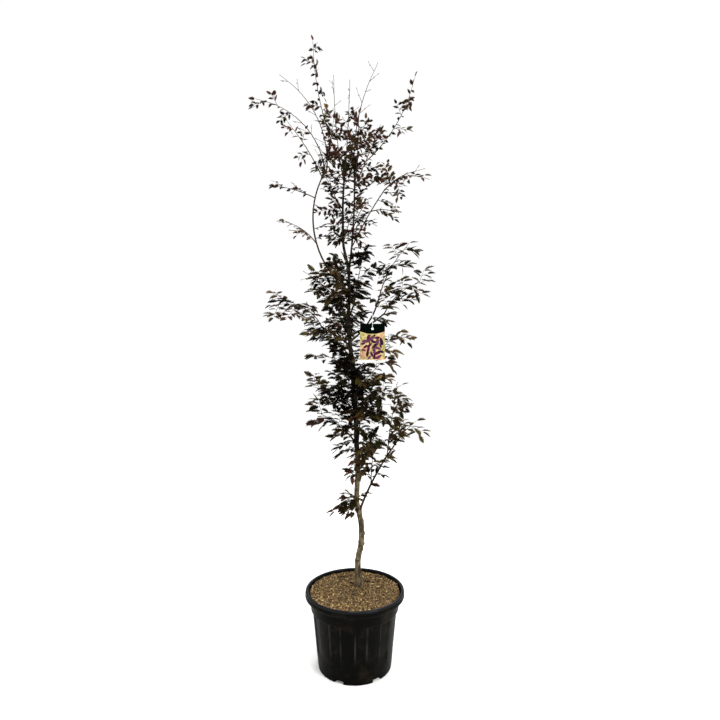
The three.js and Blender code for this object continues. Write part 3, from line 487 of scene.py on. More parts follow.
def black_plastic():
    """Dusty mouldings: scuffed walls, flute edges painted pale as highlights, and a glossier lip with a
    painted bluish reflection.
    """
    finish = Finish("black plastic", IOR=1.16, Specular_IOR_Level=0.12, Coat_Roughness=0.16)
    cloud = finish.noise(9, 5)
    grain = finish.noise(420, 2)
    scuffs = finish.mask(finish.noise(38, 7, 0.7, (1.0, 1.0, 2.4)), 0.60, 0.72)
    dust = finish.mask(finish.noise(14, 6, 0.65), 0.48, 0.72)
    colour = finish.mix((5, 5, 4), (23, 19, 12), dust)
    colour = finish.mix(colour, (40, 38, 32), scuffs * 0.3)
    x, y, height = finish.axes()
    turn = finish.node("Math", {"operation": "ARCTAN2"}, {0: y, 1: x}) * math.degrees(1)
    off = finish.node("Math", {"operation": "PINGPONG"}, {0: turn - FLUTE_FIRST, 1: 180 / FLUTES})
    off_edge = off - FLUTE_WIDTH / 2
    fluted = finish.mask(height, 0.10, 0.16)
    fluted = fluted * finish.mask(height, FLUTE_TOP * METRES, (FLUTE_TOP - 3) * METRES)
    # The pale lines along the flute edges are painted highlights.
    painted_edge_highlight = finish.mask(off_edge * off_edge, 2.6, 0.1) * fluted * finish.mask(cloud, 0.30, 0.62)
    colour = finish.mix(colour, (58, 56, 51), painted_edge_highlight * 0.36)
    # The lip's bluish tint is a painted reflection; its coat weight is real gloss.
    lip = finish.mask(height, (POT_HEIGHT - 14) * METRES, (POT_HEIGHT - 6) * METRES)
    finish.set("Coat Weight", lip * 0.14)
    return finish.dress(finish.mix(colour, (11, 12, 15), lip), 0.30 + cloud * 0.14 + scuffs * 0.2,
                        grain + scuffs * 0.4, 0.0002, 0.5)


def chip_finish(name, colour, shade):
    finish = Finish(name, IOR=1.4)
    fibre = finish.noise(190, 5, 0.7, (1.0, 2.6, 1.0))
    return finish.dress(finish.mix(colour, shade, finish.mask(fibre, 0.38, 0.66)),
                        0.82 + fibre * 0.14, fibre, 0.0008, 0.7)


def trunk_bark():
    """Pale and blotched with lichen low down, and painted near black above as shade under the crown."""
    finish = Finish("smooth grey bark", IOR=1.2)
    patches = finish.noise(24, 6, 0.66, (1.0, 1.0, 0.6))
    lichen = finish.mask(finish.noise(60, 6, 0.7), 0.53, 0.60)
    dark = finish.mask(finish.noise(85, 6, 0.72, (1.0, 1.0, 1.6)), 0.55, 0.63)
    rings = finish.noise(60, 4, 0.6, (0.35, 0.35, 6.0))
    colour = finish.mix((50, 42, 29), (97, 86, 64), finish.mask(patches, 0.42, 0.58))
    colour = finish.mix(colour, (132, 122, 98), lichen * 0.55)
    colour = finish.mix(colour, (38, 31, 22), dark * 0.8)
    # Above about a metre the bark is painted near black: painted shade under the crown.
    painted_shade_bark = finish.mix((13, 10, 7), (32, 26, 19), finish.mask(patches, 0.40, 0.64))
    height = finish.axes()[2] + patches * 0.12
    colour = finish.mix(colour, painted_shade_bark, finish.mask(height, *PAINTED_SHADE_HEIGHT) * 0.95)
    relief = patches * 0.4 + rings * 0.5 + dark * -0.35 + finish.noise(520, 3) * 0.25
    return finish.dress(colour, 0.66 + patches * 0.24, relief, 0.0016, 0.75)


def bough_bark():
    finish = Finish("brown bough bark", IOR=1.15)
    patches = finish.noise(55, 6, 0.62, (1.0, 1.0, 0.6))
    specks = finish.mask(finish.noise(260, 4, 0.7), 0.62, 0.70)
    colour = finish.mix((30, 22, 15), (58, 46, 33), finish.mask(patches, 0.42, 0.64))
    return finish.dress(finish.mix(colour, (104, 90, 70), specks * 0.5), 0.62 + patches * 0.24,
                        patches * 0.6 + specks * 0.5, 0.0009, 0.7)


def twig_bark():
    finish = Finish("young twig bark", IOR=1.15)
    patches = finish.noise(90, 5, 0.6)
    specks = finish.mask(finish.noise(700, 3, 0.6), 0.60, 0.70)
    colour = finish.mix((34, 25, 20), (60, 47, 37), finish.mask(patches, 0.40, 0.66))
    return finish.dress(finish.mix(colour, (92, 78, 62), specks * 0.4), 0.50 + patches * 0.24,
                        patches + specks * 0.5, 0.0004, 0.6)


def leaf_finish(name, colour):
    """One plain tint, with blisters in its relief and its gloss."""
    finish = Finish(name, IOR=1.13, Specular_IOR_Level=0.15)
    blister = finish.noise(170, 4, 0.6)
    return finish.dress(colour, 0.46 + blister * 0.24, blister, 0.0006, 0.6)


def card_print():
    """The card's face: a dark band over a soft two-tone ground, and a bare strip below."""
    finish = Finish("printed card", IOR=1.2, Specular_IOR_Level=0.05)
    x, y, z = finish.axes()
    aside = x - TAG_MIDDLE * METRES
    bow = aside * aside * 3.2
    band = finish.mask(z - PICTURE_TOP * METRES - bow, -0.0003, 0.0003)
    strip = finish.mask(z, (PICTURE_FOOT + 0.3) * METRES, (PICTURE_FOOT - 0.3) * METRES)
    front = finish.mask(y, (TAG_FRONT + 0.3) * METRES, (TAG_FRONT + 0.1) * METRES)
    warm = finish.mask(finish.noise(17, 3, 0.5), 0.42, 0.58)
    light = finish.mask(finish.noise(75, 4, 0.55), 0.46, 0.60)
    green = finish.mask(finish.noise(60, 4, 0.6), 0.56, 0.66)
    face = finish.mix((134, 132, 76), (180, 132, 100), warm)
    face = finish.mix(face, (194, 172, 124), light * 0.85)
    face = finish.mix(face, (84, 102, 64), green * 0.7)
    face = finish.mix(face, (1, 5, 3), band)
    face = finish.mix(face, (226, 224, 214), strip)
    paper = finish.noise(900, 3)
    return finish.dress(finish.mix((222, 220, 210), face, front), 0.24 + paper * 0.16,
                        paper, 0.00005, 0.4)


def ink(name, colour):
    finish = Finish(name, IOR=1.2, Specular_IOR_Level=0.2)
    grain = finish.noise(800, 3)
    dull = [value * 0.72 for value in colour]
    return finish.dress(finish.mix(colour, dull, grain), 0.26 + grain * 0.14)


def pale_plastic():
    finish = Finish("pale clear plastic", IOR=1.49)
    cloud = finish.noise(120, 3)
    return finish.dress(finish.mix((214, 220, 220), (190, 198, 198), cloud), 0.22 + cloud * 0.16,
                        cloud, 0.0001, 0.3)


# Limbs, as the source grows them

limbs = {}


def arc_points(foot, heading, rise_from, rise_to, length, steps):
    outward = compass(heading)
    points = [np.array(foot)]
    for i in range(steps):
        rise = math.radians(lerp(rise_from, rise_to, (i + 0.5) / steps))
        step = outward * math.cos(rise) + UP * math.sin(rise)
        points.append(points[-1] + step * length / steps)
    return np.array(points)


def sway_at(height):
    levels = [level for level, _ in TRUNK_SWAY]
    after = max(1, next(i for i, level in enumerate(levels) if level >= height))
    (low, low_sway), (high, high_sway) = TRUNK_SWAY[after - 1], TRUNK_SWAY[after]
    return lerp(low_sway, high_sway, float(smoothstep(height, low, high)))


def trunk_radius(height):
    share = (height - TRUNK_FOOT) / (TRUNK_TIP - TRUNK_FOOT)
    flare = ROOT_FLARE * math.exp(-(height - TRUNK_FOOT) / ROOT_FLARE_HEIGHT)
    return (lerp(*TRUNK_WIDTH, max(share, 0) ** TRUNK_TAPER) + flare) / 2


def trunk_axis(height):
    share = (height - TRUNK_FOOT) / (TRUNK_TIP - TRUNK_FOOT)
    return np.array([sway_at(max(height, TRUNK_SWAY[0][0])), lerp(*TRUNK_DEPTH, share), height])


def foot_on(limb, height):
    points = limbs[limb]
    after = next(i for i, point in enumerate(points) if point[2] >= height)
    low, high = points[after - 1], points[after]
    return lerp(low, high, (height - low[2]) / (high[2] - low[2]))


def grow_limbs():
    shares = (np.arange(TRUNK_RINGS + 1) / TRUNK_RINGS) ** TRUNK_RINGS_LOW
    limbs["trunk"] = np.array([trunk_axis(lerp(TRUNK_FOOT, TRUNK_TIP, share)) for share in shares])
    for name, (parent, height, heading, rise_from, rise_to, length, _, _) in BOUGHS.items():
        steps = max(3, round(length / BOUGH_STEP))
        limbs[name] = arc_points(foot_on(parent, height), heading, rise_from, rise_to, length, steps)


# Bark

# Old pruning scars and swellings on the trunk: height, heading, size, how far they stand out
KNOBS = [
    (586, 10, 9, 4.0), (641, 350, 11, 4.5), (556, 345, 8, 2.6), (598, 185, 9, 2.2),
    (500, 200, 10, 2.0), (706, 20, 10, 2.6), (760, 160, 9, 3.0), (905, 200, 9, 2.4),
    (690, 265, 8, 2.2), (824, 250, 9, 2.4), (955, 300, 8, 2.0), (450, 330, 12, 2.2),
]


def barked_rod(heap, path, radii, sides, relief, knobs):
    """A rod with bark relief: slow swellings, ridges across it, a grain, and knobs where twigs grew."""
    outward = circled(path, sides)
    surface = path[:, None, :] + outward * radii[:, None, None]

    def relief_of(size, seed, stretch=1.0):
        return rough(surface.reshape(-1, 3) * (1, 1, stretch), size, seed).reshape(len(path), sides)

    swellings = relief_of(34, 1) * 0.045 + relief_of(11, 2) * 0.022
    ridges, grain = relief_of(9, 3, 3.4), relief_of(3.2, 4)
    lift = swellings * radii[:, None] + ridges * relief + grain * relief * 0.5
    for spot, size, out in knobs:
        away = np.linalg.norm(surface - spot, axis=2) / size
        lift += out * np.exp(-away ** 2) - 0.25 * out * np.exp(-(away - 1.5) ** 2 * 3)
    heap.add_rings(surface + outward * lift[:, :, None], path[0], path[-1])


def make_trunk():
    heap = Heap()
    heights = np.concatenate([np.arange(TRUNK_BURIED, TRUNK_TIP - 1, TRUNK_RING_STEP), [TRUNK_TIP]])
    path = np.array([trunk_axis(height) for height in heights])
    radii = np.array([trunk_radius(max(height, TRUNK_FOOT)) for height in heights])
    marks = list(KNOBS)
    for parent, height, heading, _, _, _, width, _ in BOUGHS.values():
        if parent == "trunk":
            marks.append((height, heading, width * COLLAR_SHARE, COLLAR_OUT))
    for limb, height, heading, *_ in MASSES.values():
        if limb == "trunk" and height != "tip":
            marks.append((height, heading, TWIG_COLLAR_SIZE, TWIG_COLLAR_OUT))
    knobs = [
        (trunk_axis(height) + compass(heading) * trunk_radius(height), size, out)
        for height, heading, size, out in marks
    ]
    barked_rod(heap, path, radii, TRUNK_SIDES, TRUNK_RELIEF, knobs)
    heap.piece("trunk_bark", [trunk_bark()], "bark", replaced=["trunk"])


def make_boughs():
    heap = Heap()
    for name, (parent, _, _, _, _, length, width_from, width_to) in BOUGHS.items():
        path = smooth_path(limbs[name], BOUGH_RING_STEP)
        shares = np.linspace(0, 1, len(path))
        collar = COLLAR_SWELLING * np.exp(-np.maximum(shares * length - width_from, 0) / COLLAR_LENGTH)
        radii = lerp(width_from, width_to, shares) / 2 * (1 + collar * (parent == "trunk"))
        radii = radii * SLIMMER.get(name, 1)
        scars = [
            (path[i] + compass(i * GOLDEN_ANGLE) * radii[i], SCAR_SIZE, SCAR_OUT)
            for i in range(SCAR_FIRST, len(path) - 4, SCAR_EVERY)
        ]
        barked_rod(heap, path, radii, BOUGH_SIDES, BOUGH_RELIEF, scars)
    heap.piece("bough_bark", [bough_bark()], "bark", replaced=list(BOUGHS))


# Twigs and leaves

def stem_of(name):
    limb, where, heading, rise_from, rise_to, length, *_ = MASSES[name]
    points = limbs[limb]
    foot = points[-1] - unit(points[-1] - points[-2]) * 4 if where == "tip" else foot_on(limb, where)
    return arc_points(foot, heading, rise_from, rise_to, length, max(3, round(length / STEM_STEP)))


def swing(number):
    """One side and the other in turn: -1 for an even number and 1 for an odd one."""
    return 2 * (number % 2) - 1


def at(points, share):
    """The point at a share of the way along, and the direction there."""
    place = share * (len(points) - 1)
    low = min(int(place), len(points) - 2)
    return lerp(points[low], points[low + 1], place - low), unit(points[low + 1] - points[low])


def spray_plane(direction, heading, roll):
    side = compass(heading + 90)
    side = rotated(unit(side - direction * np.dot(side, direction)), direction, roll)
    return side, np.cross(direction, side)


def turned(direction, side, angle, droop):
    angle = math.radians(angle)
    return unit(direction * math.cos(angle) + side * math.sin(angle) - UP * droop)


class Foliage:
    """The leaves of one part of the crown, gathered until they are made."""

    def __init__(self, leaf_length, spacing, steepness, looseness, seed):
        self.leaf_length, self.spacing, self.seed = leaf_length, spacing, seed
        self.steepness, self.looseness = steepness, looseness
        self.rows, self.tints = [], []

    def add(self, foot, way, normal, fullness, tint):
        size = self.leaf_length * rng.uniform(*LEAF_SIZES) * lerp(SPARSE_LEAF_SIZE, 1, fullness)
        way = way * (1, 1, self.steepness) + rng.normal(0, LEAF_STRAY, 3)
        way = unit(way - UP * rng.uniform(*LEAF_HANG))
        face = UP + LEAF_FACING * normal * np.sign(normal[2] or 1) + rng.normal(0, self.looseness, 3)
        face = face - way * np.dot(face, way)
        if keeps_clear(foot, way, size):
            self.rows.append((foot, way, unit(face), np.full(3, size)))
            self.tints.append(tint)

    def piece(self, name, masses, materials):
        feet, ways, faces, sizes = np.array(self.rows).transpose(1, 0, 2)[:, :, None]
        shapes = np.array([leaf_shape(variant) for variant in range(LEAF_VARIANTS)])
        reseed(self.seed)
        kinds = rng.integers(0, LEAF_VARIANTS, len(feet))
        mirrored = rng.choice([-1, 1], len(feet))[:, None, None]
        long, wide, up = np.split(shapes[kinds] * sizes, 3, axis=2)
        spots = feet + long * ways + wide * np.cross(faces, ways) * mirrored + up * faces
        corners = np.arange(len(feet))[:, None, None] * spots.shape[1] + LEAF_FACES
        heap = Heap()
        heap.add(spots.reshape(-1, 3), corners.reshape(-1, 3), finish=np.repeat(self.tints, len(LEAF_FACES)))
        heap.piece(name, materials, "foliage", replaced=masses)


# A blade of deep forward teeth: each tooth has its side vein, and the midrib folds it
LEAF_VARIANTS = 8
TEETH = 6
PETIOLE = 0.11


def leaf_faces():
    """Corner numbers: 0 foot, 1 to TEETH the midrib, then the tip, then tooth and sinus pairs."""
    tip = TEETH + 1
    stalk = tip + 1 + 4 * TEETH
    faces = []
    for side in range(2):
        tooth = [tip + 1 + side * 2 * TEETH + 2 * k for k in range(TEETH)]
        half = [(0, 1, tooth[0])]
        for k in range(TEETH):
            sinus = tooth[k] + 1
            half += [(k + 1, k + 2, sinus), (k + 1, sinus, tooth[k])]
            if k < TEETH - 1:
                half.append((k + 2, tooth[k + 1], sinus))
        faces += [face[::-1] for face in half] if side else half
    for k in range(3):
        here, after = stalk + k, stalk + (k + 1) % 3
        faces += [(here, after, after + 3), (here, after + 3, here + 3)]
    return np.array(faces)


LEAF_FACES = leaf_faces()


def leaf_shape(variant):
    """Corners of one blade of length 1: along, across and up."""
    dice = np.random.default_rng(100 + variant)
    fold = dice.uniform(0.15, 0.55)
    droop = dice.uniform(0.02, 0.22)
    twist = dice.uniform(-0.35, 0.35)
    ripple = dice.uniform(0.006, 0.022)

    def breadth(t):
        return LEAF_SLIM / 2 * math.sin(math.pi * t ** 0.74) ** 0.8

    teeth = [(k + 0.75) / (TEETH + 0.55) for k in range(TEETH)]
    midrib = [0] + [max(t - 0.15, 0.03 + 0.01 * k) for k, t in enumerate(teeth)] + [1]
    outline = [(t, 0, 0) for t in midrib]
    for side in (1, -1):
        for t in teeth:
            wide = breadth(t) * dice.uniform(0.98, 1.16)
            outline.append((t + dice.uniform(-0.01, 0.01), side * wide, ripple * dice.uniform(-0.6, 1)))
            sinus = t + 0.045
            outline.append((sinus, side * breadth(sinus) * dice.uniform(0.46, 0.60), -ripple))
    corners = []
    for t, across, lift in outline:
        up = fold * abs(across) + lift - droop * t ** 2 * 0.8 + twist * across * t
        corners.append((PETIOLE + t * (1 - PETIOLE), across, up))
    for x, drop in ((0, 0), (PETIOLE + 0.02, -0.004)):
        for turn in round_turns(3):
            corners.append((x, 0.009 * math.cos(turn), drop + 0.009 * math.sin(turn)))
    return corners


def keeps_clear(foot, way, size):
    """Nothing grows in front of the hang tag, down into the pot or through the trunk."""
    for reach in (0.2, 0.6, 1.0):
        x, y, z = foot + way * size * reach
        past_tag = max(abs(x - TAG_MIDDLE) - TAG_WIDTH / 2, TAG_TOP - TAG_HEIGHT - z, z - TAG_TOP)
        if past_tag < TAG_CLEARANCE and y < TAG_DEPTH + FRONT_CLEARANCE:
            return False
        if z < POT_HEIGHT + POT_CLEARANCE and math.hypot(x, y) < LIP_RADIUS + POT_CLEARANCE:
            return False
        if reach > 0.3 and z < TRUNK_TIP:
            axis = trunk_axis(z)
            if math.hypot(x - axis[0], y - axis[1]) < trunk_radius(z) + 1:
                return False
    return True


class Growth:
    """One mass or sprout as it grows: the heap of its wood, its foliage, and how it is tinted."""

    def __init__(self, wood, foliage, favourite=0, weighing=None):
        self.wood, self.foliage, self.fullness = wood, foliage, 1
        self.favourite, self.weighing = favourite, weighing

    def tint(self, spot):
        """The tint of one spray: painted darkest next to the trunk as shade, and a mass has a favourite."""
        weights = self.weighing
        if weights is None:
            axis = trunk_axis(min(spot[2], TRUNK_TIP))
            out = np.hypot(spot[0] - axis[0], (spot[1] - axis[1]) * 0.5)
            away, high = float(smoothstep(out, *PAINTED_SHADE_REACH)), float(smoothstep(spot[2], *TINT_RISE))
            weights = [lerp(lerp(near, far, away), top, high) for _, near, far, top in TINTS.values()]
            weights[self.favourite] *= FAVOURED
        weights = np.array(weights, float)
        return rng.choice(len(TINTS), p=weights / weights.sum())

    def leaf(self, foot, way, normal, tint):
        self.foliage.add(foot, way, normal, self.fullness, tint)

    def in_leaf(self, share):
        """Whether what grows here on the stem is in leaf: some of it may be bare all along."""
        return self.leafy_from <= share <= self.leafy_until and rng.random() <= self.part

    def stem(self, name, seed):
        """The stem that the source gives this mass, with its twigs and its own leaves."""
        limb, where, self.heading, _, _, *rest = MASSES[name]
        self.length, self.reach, self.turn, self.fullness, *leafy = rest
        self.leafy_from, self.leafy_until, self.part, self.stretch = leafy or (0, 1, 1, 1)
        self.cut_short = name.startswith("mass") and self.leafy_until < SHORT_STEM
        self.points, self.seed = stem_of(name), seed
        self.roll = spread(seed, LOT_SPRAY, 2 * SPRAY_ROLL)
        tip = self.stem_rod(STOUT_FOOT if where == "tip" else STEM_RADIUS[0])
        tint = self.tint(self.points[0])
        self.stem_twigs()
        if name in INNER_TWIGS:
            self.inner_twigs(*INNER_TWIGS[name])
        elif limb in ("trunk", "leader_right") and not name.startswith(("shoot", "mass_foot")):
            self.inner_twigs(*INNER_TWIGS["others"])
        self.stem_leaves(tint)
        if self.leafy_until >= 1:
            _, tip_way = at(self.points, 1)
            _, normal = spray_plane(tip_way, self.heading, 0)
            self.leaf(tip, tip_way, normal, self.tint(tip))

    def stem_rod(self, foot_radius):
        """The stem's wood, a little crooked, with a bud where its tip is bare."""
        path = smooth_path(self.points, WOOD_STEP)
        if self.cut_short:
            path = path[:round(len(path) * self.leafy_until) + 1]
        else:
            _, tip_way = at(self.points, 1)
            path = np.concatenate([path, path[-1:] + tip_way * STEM_LONGER])
        shares = np.linspace(0, 1, len(path))
        kink = swing(np.arange(len(path))) * STEM_ZIGZAG * (1 - 0.4 * shares)
        kink[:2] = 0
        path = path + kink[:, None] * circled(path, 1)[:, 0]
        radii = lerp(*STEM_RADIUS, shares) + (foot_radius - STEM_RADIUS[0]) * np.exp(-shares * FOOT_TAPER)
        if self.leafy_until < 1:
            path, radii = with_bud(path, radii)
        add_tube(self.wood, path, radii, TWIG_SIDES + 1)
        return path[-1]

    def stem_twigs(self):
        """Side twigs by the source's rule, each a little longer, leafy or bare."""
        count = max(2, round(self.length * self.fullness ** 2 / TWIG_STEP))
        for i in range(count):
            share = (i + TWIG_FIRST) / count
            if self.cut_short and share > self.leafy_until:
                break
            spot, forward = at(self.points, share)
            roll = self.roll + self.turn * i * TWIG_TURN + spread(self.seed, LOT_ROLL + i, TWIG_ROLL)
            side, normal = spray_plane(forward, self.heading, roll)
            angle = TWIG_ANGLE + spread(self.seed, LOT_ANGLE + i, TWIG_ANGLE_SPREAD)
            way = turned(forward, side * swing(i + 1), angle, TWIG_DROOP)
            length = self.reach * (1 - TWIG_SHORTEN * share)
            length = length * (0.8 + 0.4 * scatter(self.seed, LOT_LENGTH + i))
            if self.in_leaf(share):
                self.leafy_twig(spot, way, normal, length * self.stretch + TWIG_LONGER)
            else:
                self.bare_twig(spot, way, length * BARE_TWIG_SHARE)

    def inner_twigs(self, count, where, to_right):
        """Short leafy twigs along part of a stem, which fill the crown round it."""
        for i in range(count):
            spot, forward = at(self.points, rng.uniform(*where))
            side, normal = spray_plane(forward, self.heading, rng.uniform(-INNER_ROLL, INNER_ROLL))
            way = turned(forward, side * swing(i), rng.uniform(*INNER_ANGLE), 0.1)
            if to_right:
                way = way * (math.copysign(1, way[0]), 1, 1)
            self.leafy_twig(spot, way, normal, rng.uniform(*INNER_REACH))

    def stem_leaves(self, tint):
        """Leaves straight on the stem, a few of them in each tint."""
        count = max(2, round(self.length * self.fullness / self.foliage.spacing / STEM_LEAF_SPACING))
        for j in range(count):
            share = (j + 0.3) / count
            if not self.in_leaf(share):
                continue
            spot, forward = at(self.points, share)
            if j % STEM_LEAVES_ALIKE == 0:
                tint = self.tint(spot)
            roll = self.roll + spread(self.seed, LOT_STEM_ROLL + j, STEM_LEAF_ROLL)
            side, normal = spray_plane(forward, self.heading, roll)
            way = turned(forward, side * swing(j), LEAF_ANGLE, STEM_LEAF_DROOP)
            self.leaf(spot, way, normal, tint)

    def bare_twig(self, foot, way, length):
        path = twig_path(foot, way, length, BARE_TWIG_SAG)
        add_tube(self.wood, *with_bud(path, tapered(path, TWIG_RADIUS)), TWIG_SIDES)
        for i in range(2, len(path) - 1, 2):
            side = unit(np.cross(way, UP)) * swing(i // 2)
            spur = np.array([path[i], path[i] + (way * 0.8 + side * 0.6) * BUD_STALK])
            add_tube(self.wood, *with_bud(spur, np.array([0.6, 0.6])), TWIG_SIDES)

    def leafy_twig(self, foot, way, normal, length):
        path = twig_path(foot, way, length, TWIG_SAG)
        tint = self.tint(path[len(path) // 2])
        add_tube(self.wood, path, tapered(path, TWIG_RADIUS), TWIG_SIDES)
        across = unit(np.cross(normal, way))
        leaves = max(1, round(length * self.fullness / self.foliage.spacing))
        for j in range(leaves):
            angle = LEAF_ANGLE + rng.uniform(-LEAF_ANGLE_SPREAD, LEAF_ANGLE_SPREAD)
            spot, _ = at(path, (j + 0.45) / leaves)
            self.leaf(spot, turned(way, across * swing(j + 1), angle, 0), normal, tint)
        _, tip_way = at(path, 1)
        self.leaf(path[-1], tip_way, normal, tint)
        spurs = round((length - SPUR_FREE_TIP) * self.fullness / SPUR_STEP)
        for j in range(spurs):
            share = (j + 0.5 + rng.uniform(-0.15, 0.15)) / spurs
            spot, _ = at(path, share)
            leaning = turned(way, across * swing(j), rng.uniform(*SPUR_ANGLE), TWIG_DROOP)
            self.spur(spot, leaning, normal, rng.uniform(*SPUR_LENGTH) * (1 - 0.4 * share))

    def spur(self, foot, way, normal, length):
        tint = self.tint(foot)
        path = twig_path(foot, way, length, TWIG_SAG)
        add_tube(self.wood, path, tapered(path, SPUR_RADIUS), TWIG_SIDES)
        side = unit(np.cross(normal, way)) * rng.choice([-1, 1])
        spot, _ = at(path, 0.5)
        self.leaf(spot, turned(way, side, LEAF_ANGLE, 0), normal, tint)
        _, tip_way = at(path, 1)
        self.leaf(path[-1], tip_way, normal, tint)


def tapered(path, radii):
    return lerp(*radii, np.linspace(0, 1, len(path)))


def with_bud(path, radii):
    """The tip swells into a slender pointed bud."""
    steps = np.array([0.12, 0.35, 0.65, 1.0])[:, None] * BUD_LENGTH
    swell = np.array([0.75, 1.0, 0.72, 0.12]) * BUD_RADIUS
    bud = path[-1] + steps * unit(path[-1] - path[-2])
    return np.concatenate([path, bud]), np.concatenate([radii, swell])


def twig_path(foot, way, length, sag):
    steps = max(3, round(length / WOOD_STEP))
    shares = np.linspace(0, 1, steps + 1)[:, None]
    bend = unit(np.cross(way, rng.normal(0, 1, 3))) * rng.uniform(-TWIG_BEND, TWIG_BEND)
    kink = swing(np.arange(steps + 1))[:, None] * unit(np.cross(way, UP + 0.01)) * TWIG_ZIGZAG
    kink[0] = 0
    return foot + way * length * shares - UP * sag * length * shares ** 2 + bend * length * shares ** 2 + kink


# Leaf tints, each dealt out to small sprays, with how often it falls close to the trunk, far
# out, and at the top; the dark tints weighted close to the trunk are painted shade
TINTS = {
    "leaf near black": ((13, 11, 6), 12, 3.6, 3.4),
    "leaf black green": ((24, 23, 10), 5, 4, 1.0),
    "leaf dark umber": ((45, 34, 18), 3, 4, 6),
    "leaf plum brown": ((44, 26, 19), 0.6, 0.5, 6),
    "leaf olive bronze": ((56, 48, 24), 1, 4.2, 0.8),
    "leaf warm brown": ((66, 50, 28), 0.4, 2.8, 0.6),
    "leaf red brown": ((62, 37, 26), 0.1, 0.3, 1.5),
    "leaf copper": ((90, 70, 41), 0.1, 0.6, 0.1),
}
PAINTED_SHADE_REACH = (50, 180)
TINT_RISE = (1950, 2350)
FAVOURED = 1.4
FIRST_SPROUT = 100
SPROUTS_REDDISH_TO = 830
REDDISH_LEAVES = (2, 2, 3, 3, 2, 1, 2, 0)
# Zones of the crown: heights, leaf length and spacing, how steep leaves may stand, their spread,
# and the number of their random draws
ZONES = {
    "low": (0, 1420, 53, 12, 0.36, 0.40, 3),
    "middle": (1420, 2080, 52, 12, 0.34, 0.42, 6),
    "high": (2080, 9999, 37, 11.5, 0.62, 0.45, 4),
}


def make_foliage():
    wood = Heap()
    materials = [leaf_finish(name, colour) for name, (colour, *_) in TINTS.items()]
    crown = {zone: Foliage(*row[2:]) for zone, row in ZONES.items()}
    masses = {zone: [] for zone in ZONES}

    def zone_at(height):
        return next(zone for zone, (low, high, *_) in ZONES.items() if low <= height < high)

    for index, name in enumerate(MASSES):
        points = stem_of(name)
        zone = zone_at(points[len(points) // 2][2])
        masses[zone].append(name)
        reseed(index)
        favourite = rng.integers(0, len(TINTS))
        weighing = REDDISH_LEAVES if name == "mass_foot_left" else None
        Growth(wood, crown[zone], favourite, weighing).stem(name, index + 1)
    sprouts = [(limb, *row) for limb, rows in SPROUTS for row in rows]
    for index, (limb, height, heading, rise, length) in enumerate(sprouts):
        reseed(FIRST_SPROUT + index)
        weighing = REDDISH_LEAVES if height < SPROUTS_REDDISH_TO else None
        tilt = math.radians(rise)
        way = compass(heading) * math.cos(tilt) + UP * math.sin(tilt)
        _, normal = spray_plane(way, heading, rng.uniform(-30, 30))
        sprout = Growth(wood, crown[zone_at(height)], weighing=weighing)
        sprout.leafy_twig(foot_on(limb, height), way, normal, length)
    wood.piece("twigs", [twig_bark()], "bark")
    for zone, foliage in crown.items():
        foliage.piece("leaves_" + zone, masses[zone], materials)


# Pot

# The pot's section up the outside from the foot to the lip, and down the inside
FOOT_SECTION = [
    (60, 0), (120, 0), (150, 0), (160, 0), (170, 0), (176, 0), (181, 0), (182.4, 0.4), (183.5, 1.4), (184, 3),
]
LIP_SECTION = [
    (213.2, 284.4), (215.5, 284.8), (218.6, 285.6), (220.2, 287.2), (220.8, 290), (221.6, 300), (223.2, 320),
    (224.8, 338), (225.6, 344.5), (227.2, 346.4), (232, 347.0), (241, 347.4), (246.6, 347.8), (249, 348.8),
    (249.8, 351), (250, 356), (250, 360), (249.8, 363.4), (249.3, 364.8), (248.2, 365.8), (247.4, 366.6),
    (247.3, 367.6), (248.0, 368.6), (248.6, 370.2), (248.6, 372.2), (247.8, 374.4), (246.2, 376.2),
    (244.0, 377.4), (241.2, 378), (238.4, 377.8), (236.0, 377.0), (234.0, 375.6), (232.8, 373.4),
    (232.2, 368), (231.2, 356), (229.4, 345), (226, 335), (210, 296), (204, 285), (190, 160), (175, 24),
    (170, 21),
]
POT_FLOOR = 21
NOTCH_HALF = math.degrees(math.asin(NOTCH_WIDTH / 2 / FOOT_RADIUS))


def pot_angles():
    """Columns all round, closer together at the sides of each flute and notch."""
    edges = list(np.arange(0, 360, 1.5))
    for first, count, half, steps in (
        (FLUTE_FIRST, FLUTES, FLUTE_WIDTH / 2, (-0.9, -0.55, -0.35, -0.15, 0.15, 0.35, 0.55, 0.9)),
        (NOTCH_FIRST, NOTCHES, NOTCH_HALF, (-0.5, -0.06, 0.06, 0.5)),
    ):
        for i in range(count):
            for side in (-1, 1):
                edges += [first + i * 360 / count + side * half + step for step in steps]
    angles = np.sort(np.array(edges) % 360)
    return angles[np.concatenate([[True], np.diff(angles) > 0.05])]


def off_nearest(angles, first, count):
    """How far each angle is from the nearest of the flutes or notches."""
    step = 360 / count
    return ((angles - first + step / 2) % step - step / 2)[None, :]


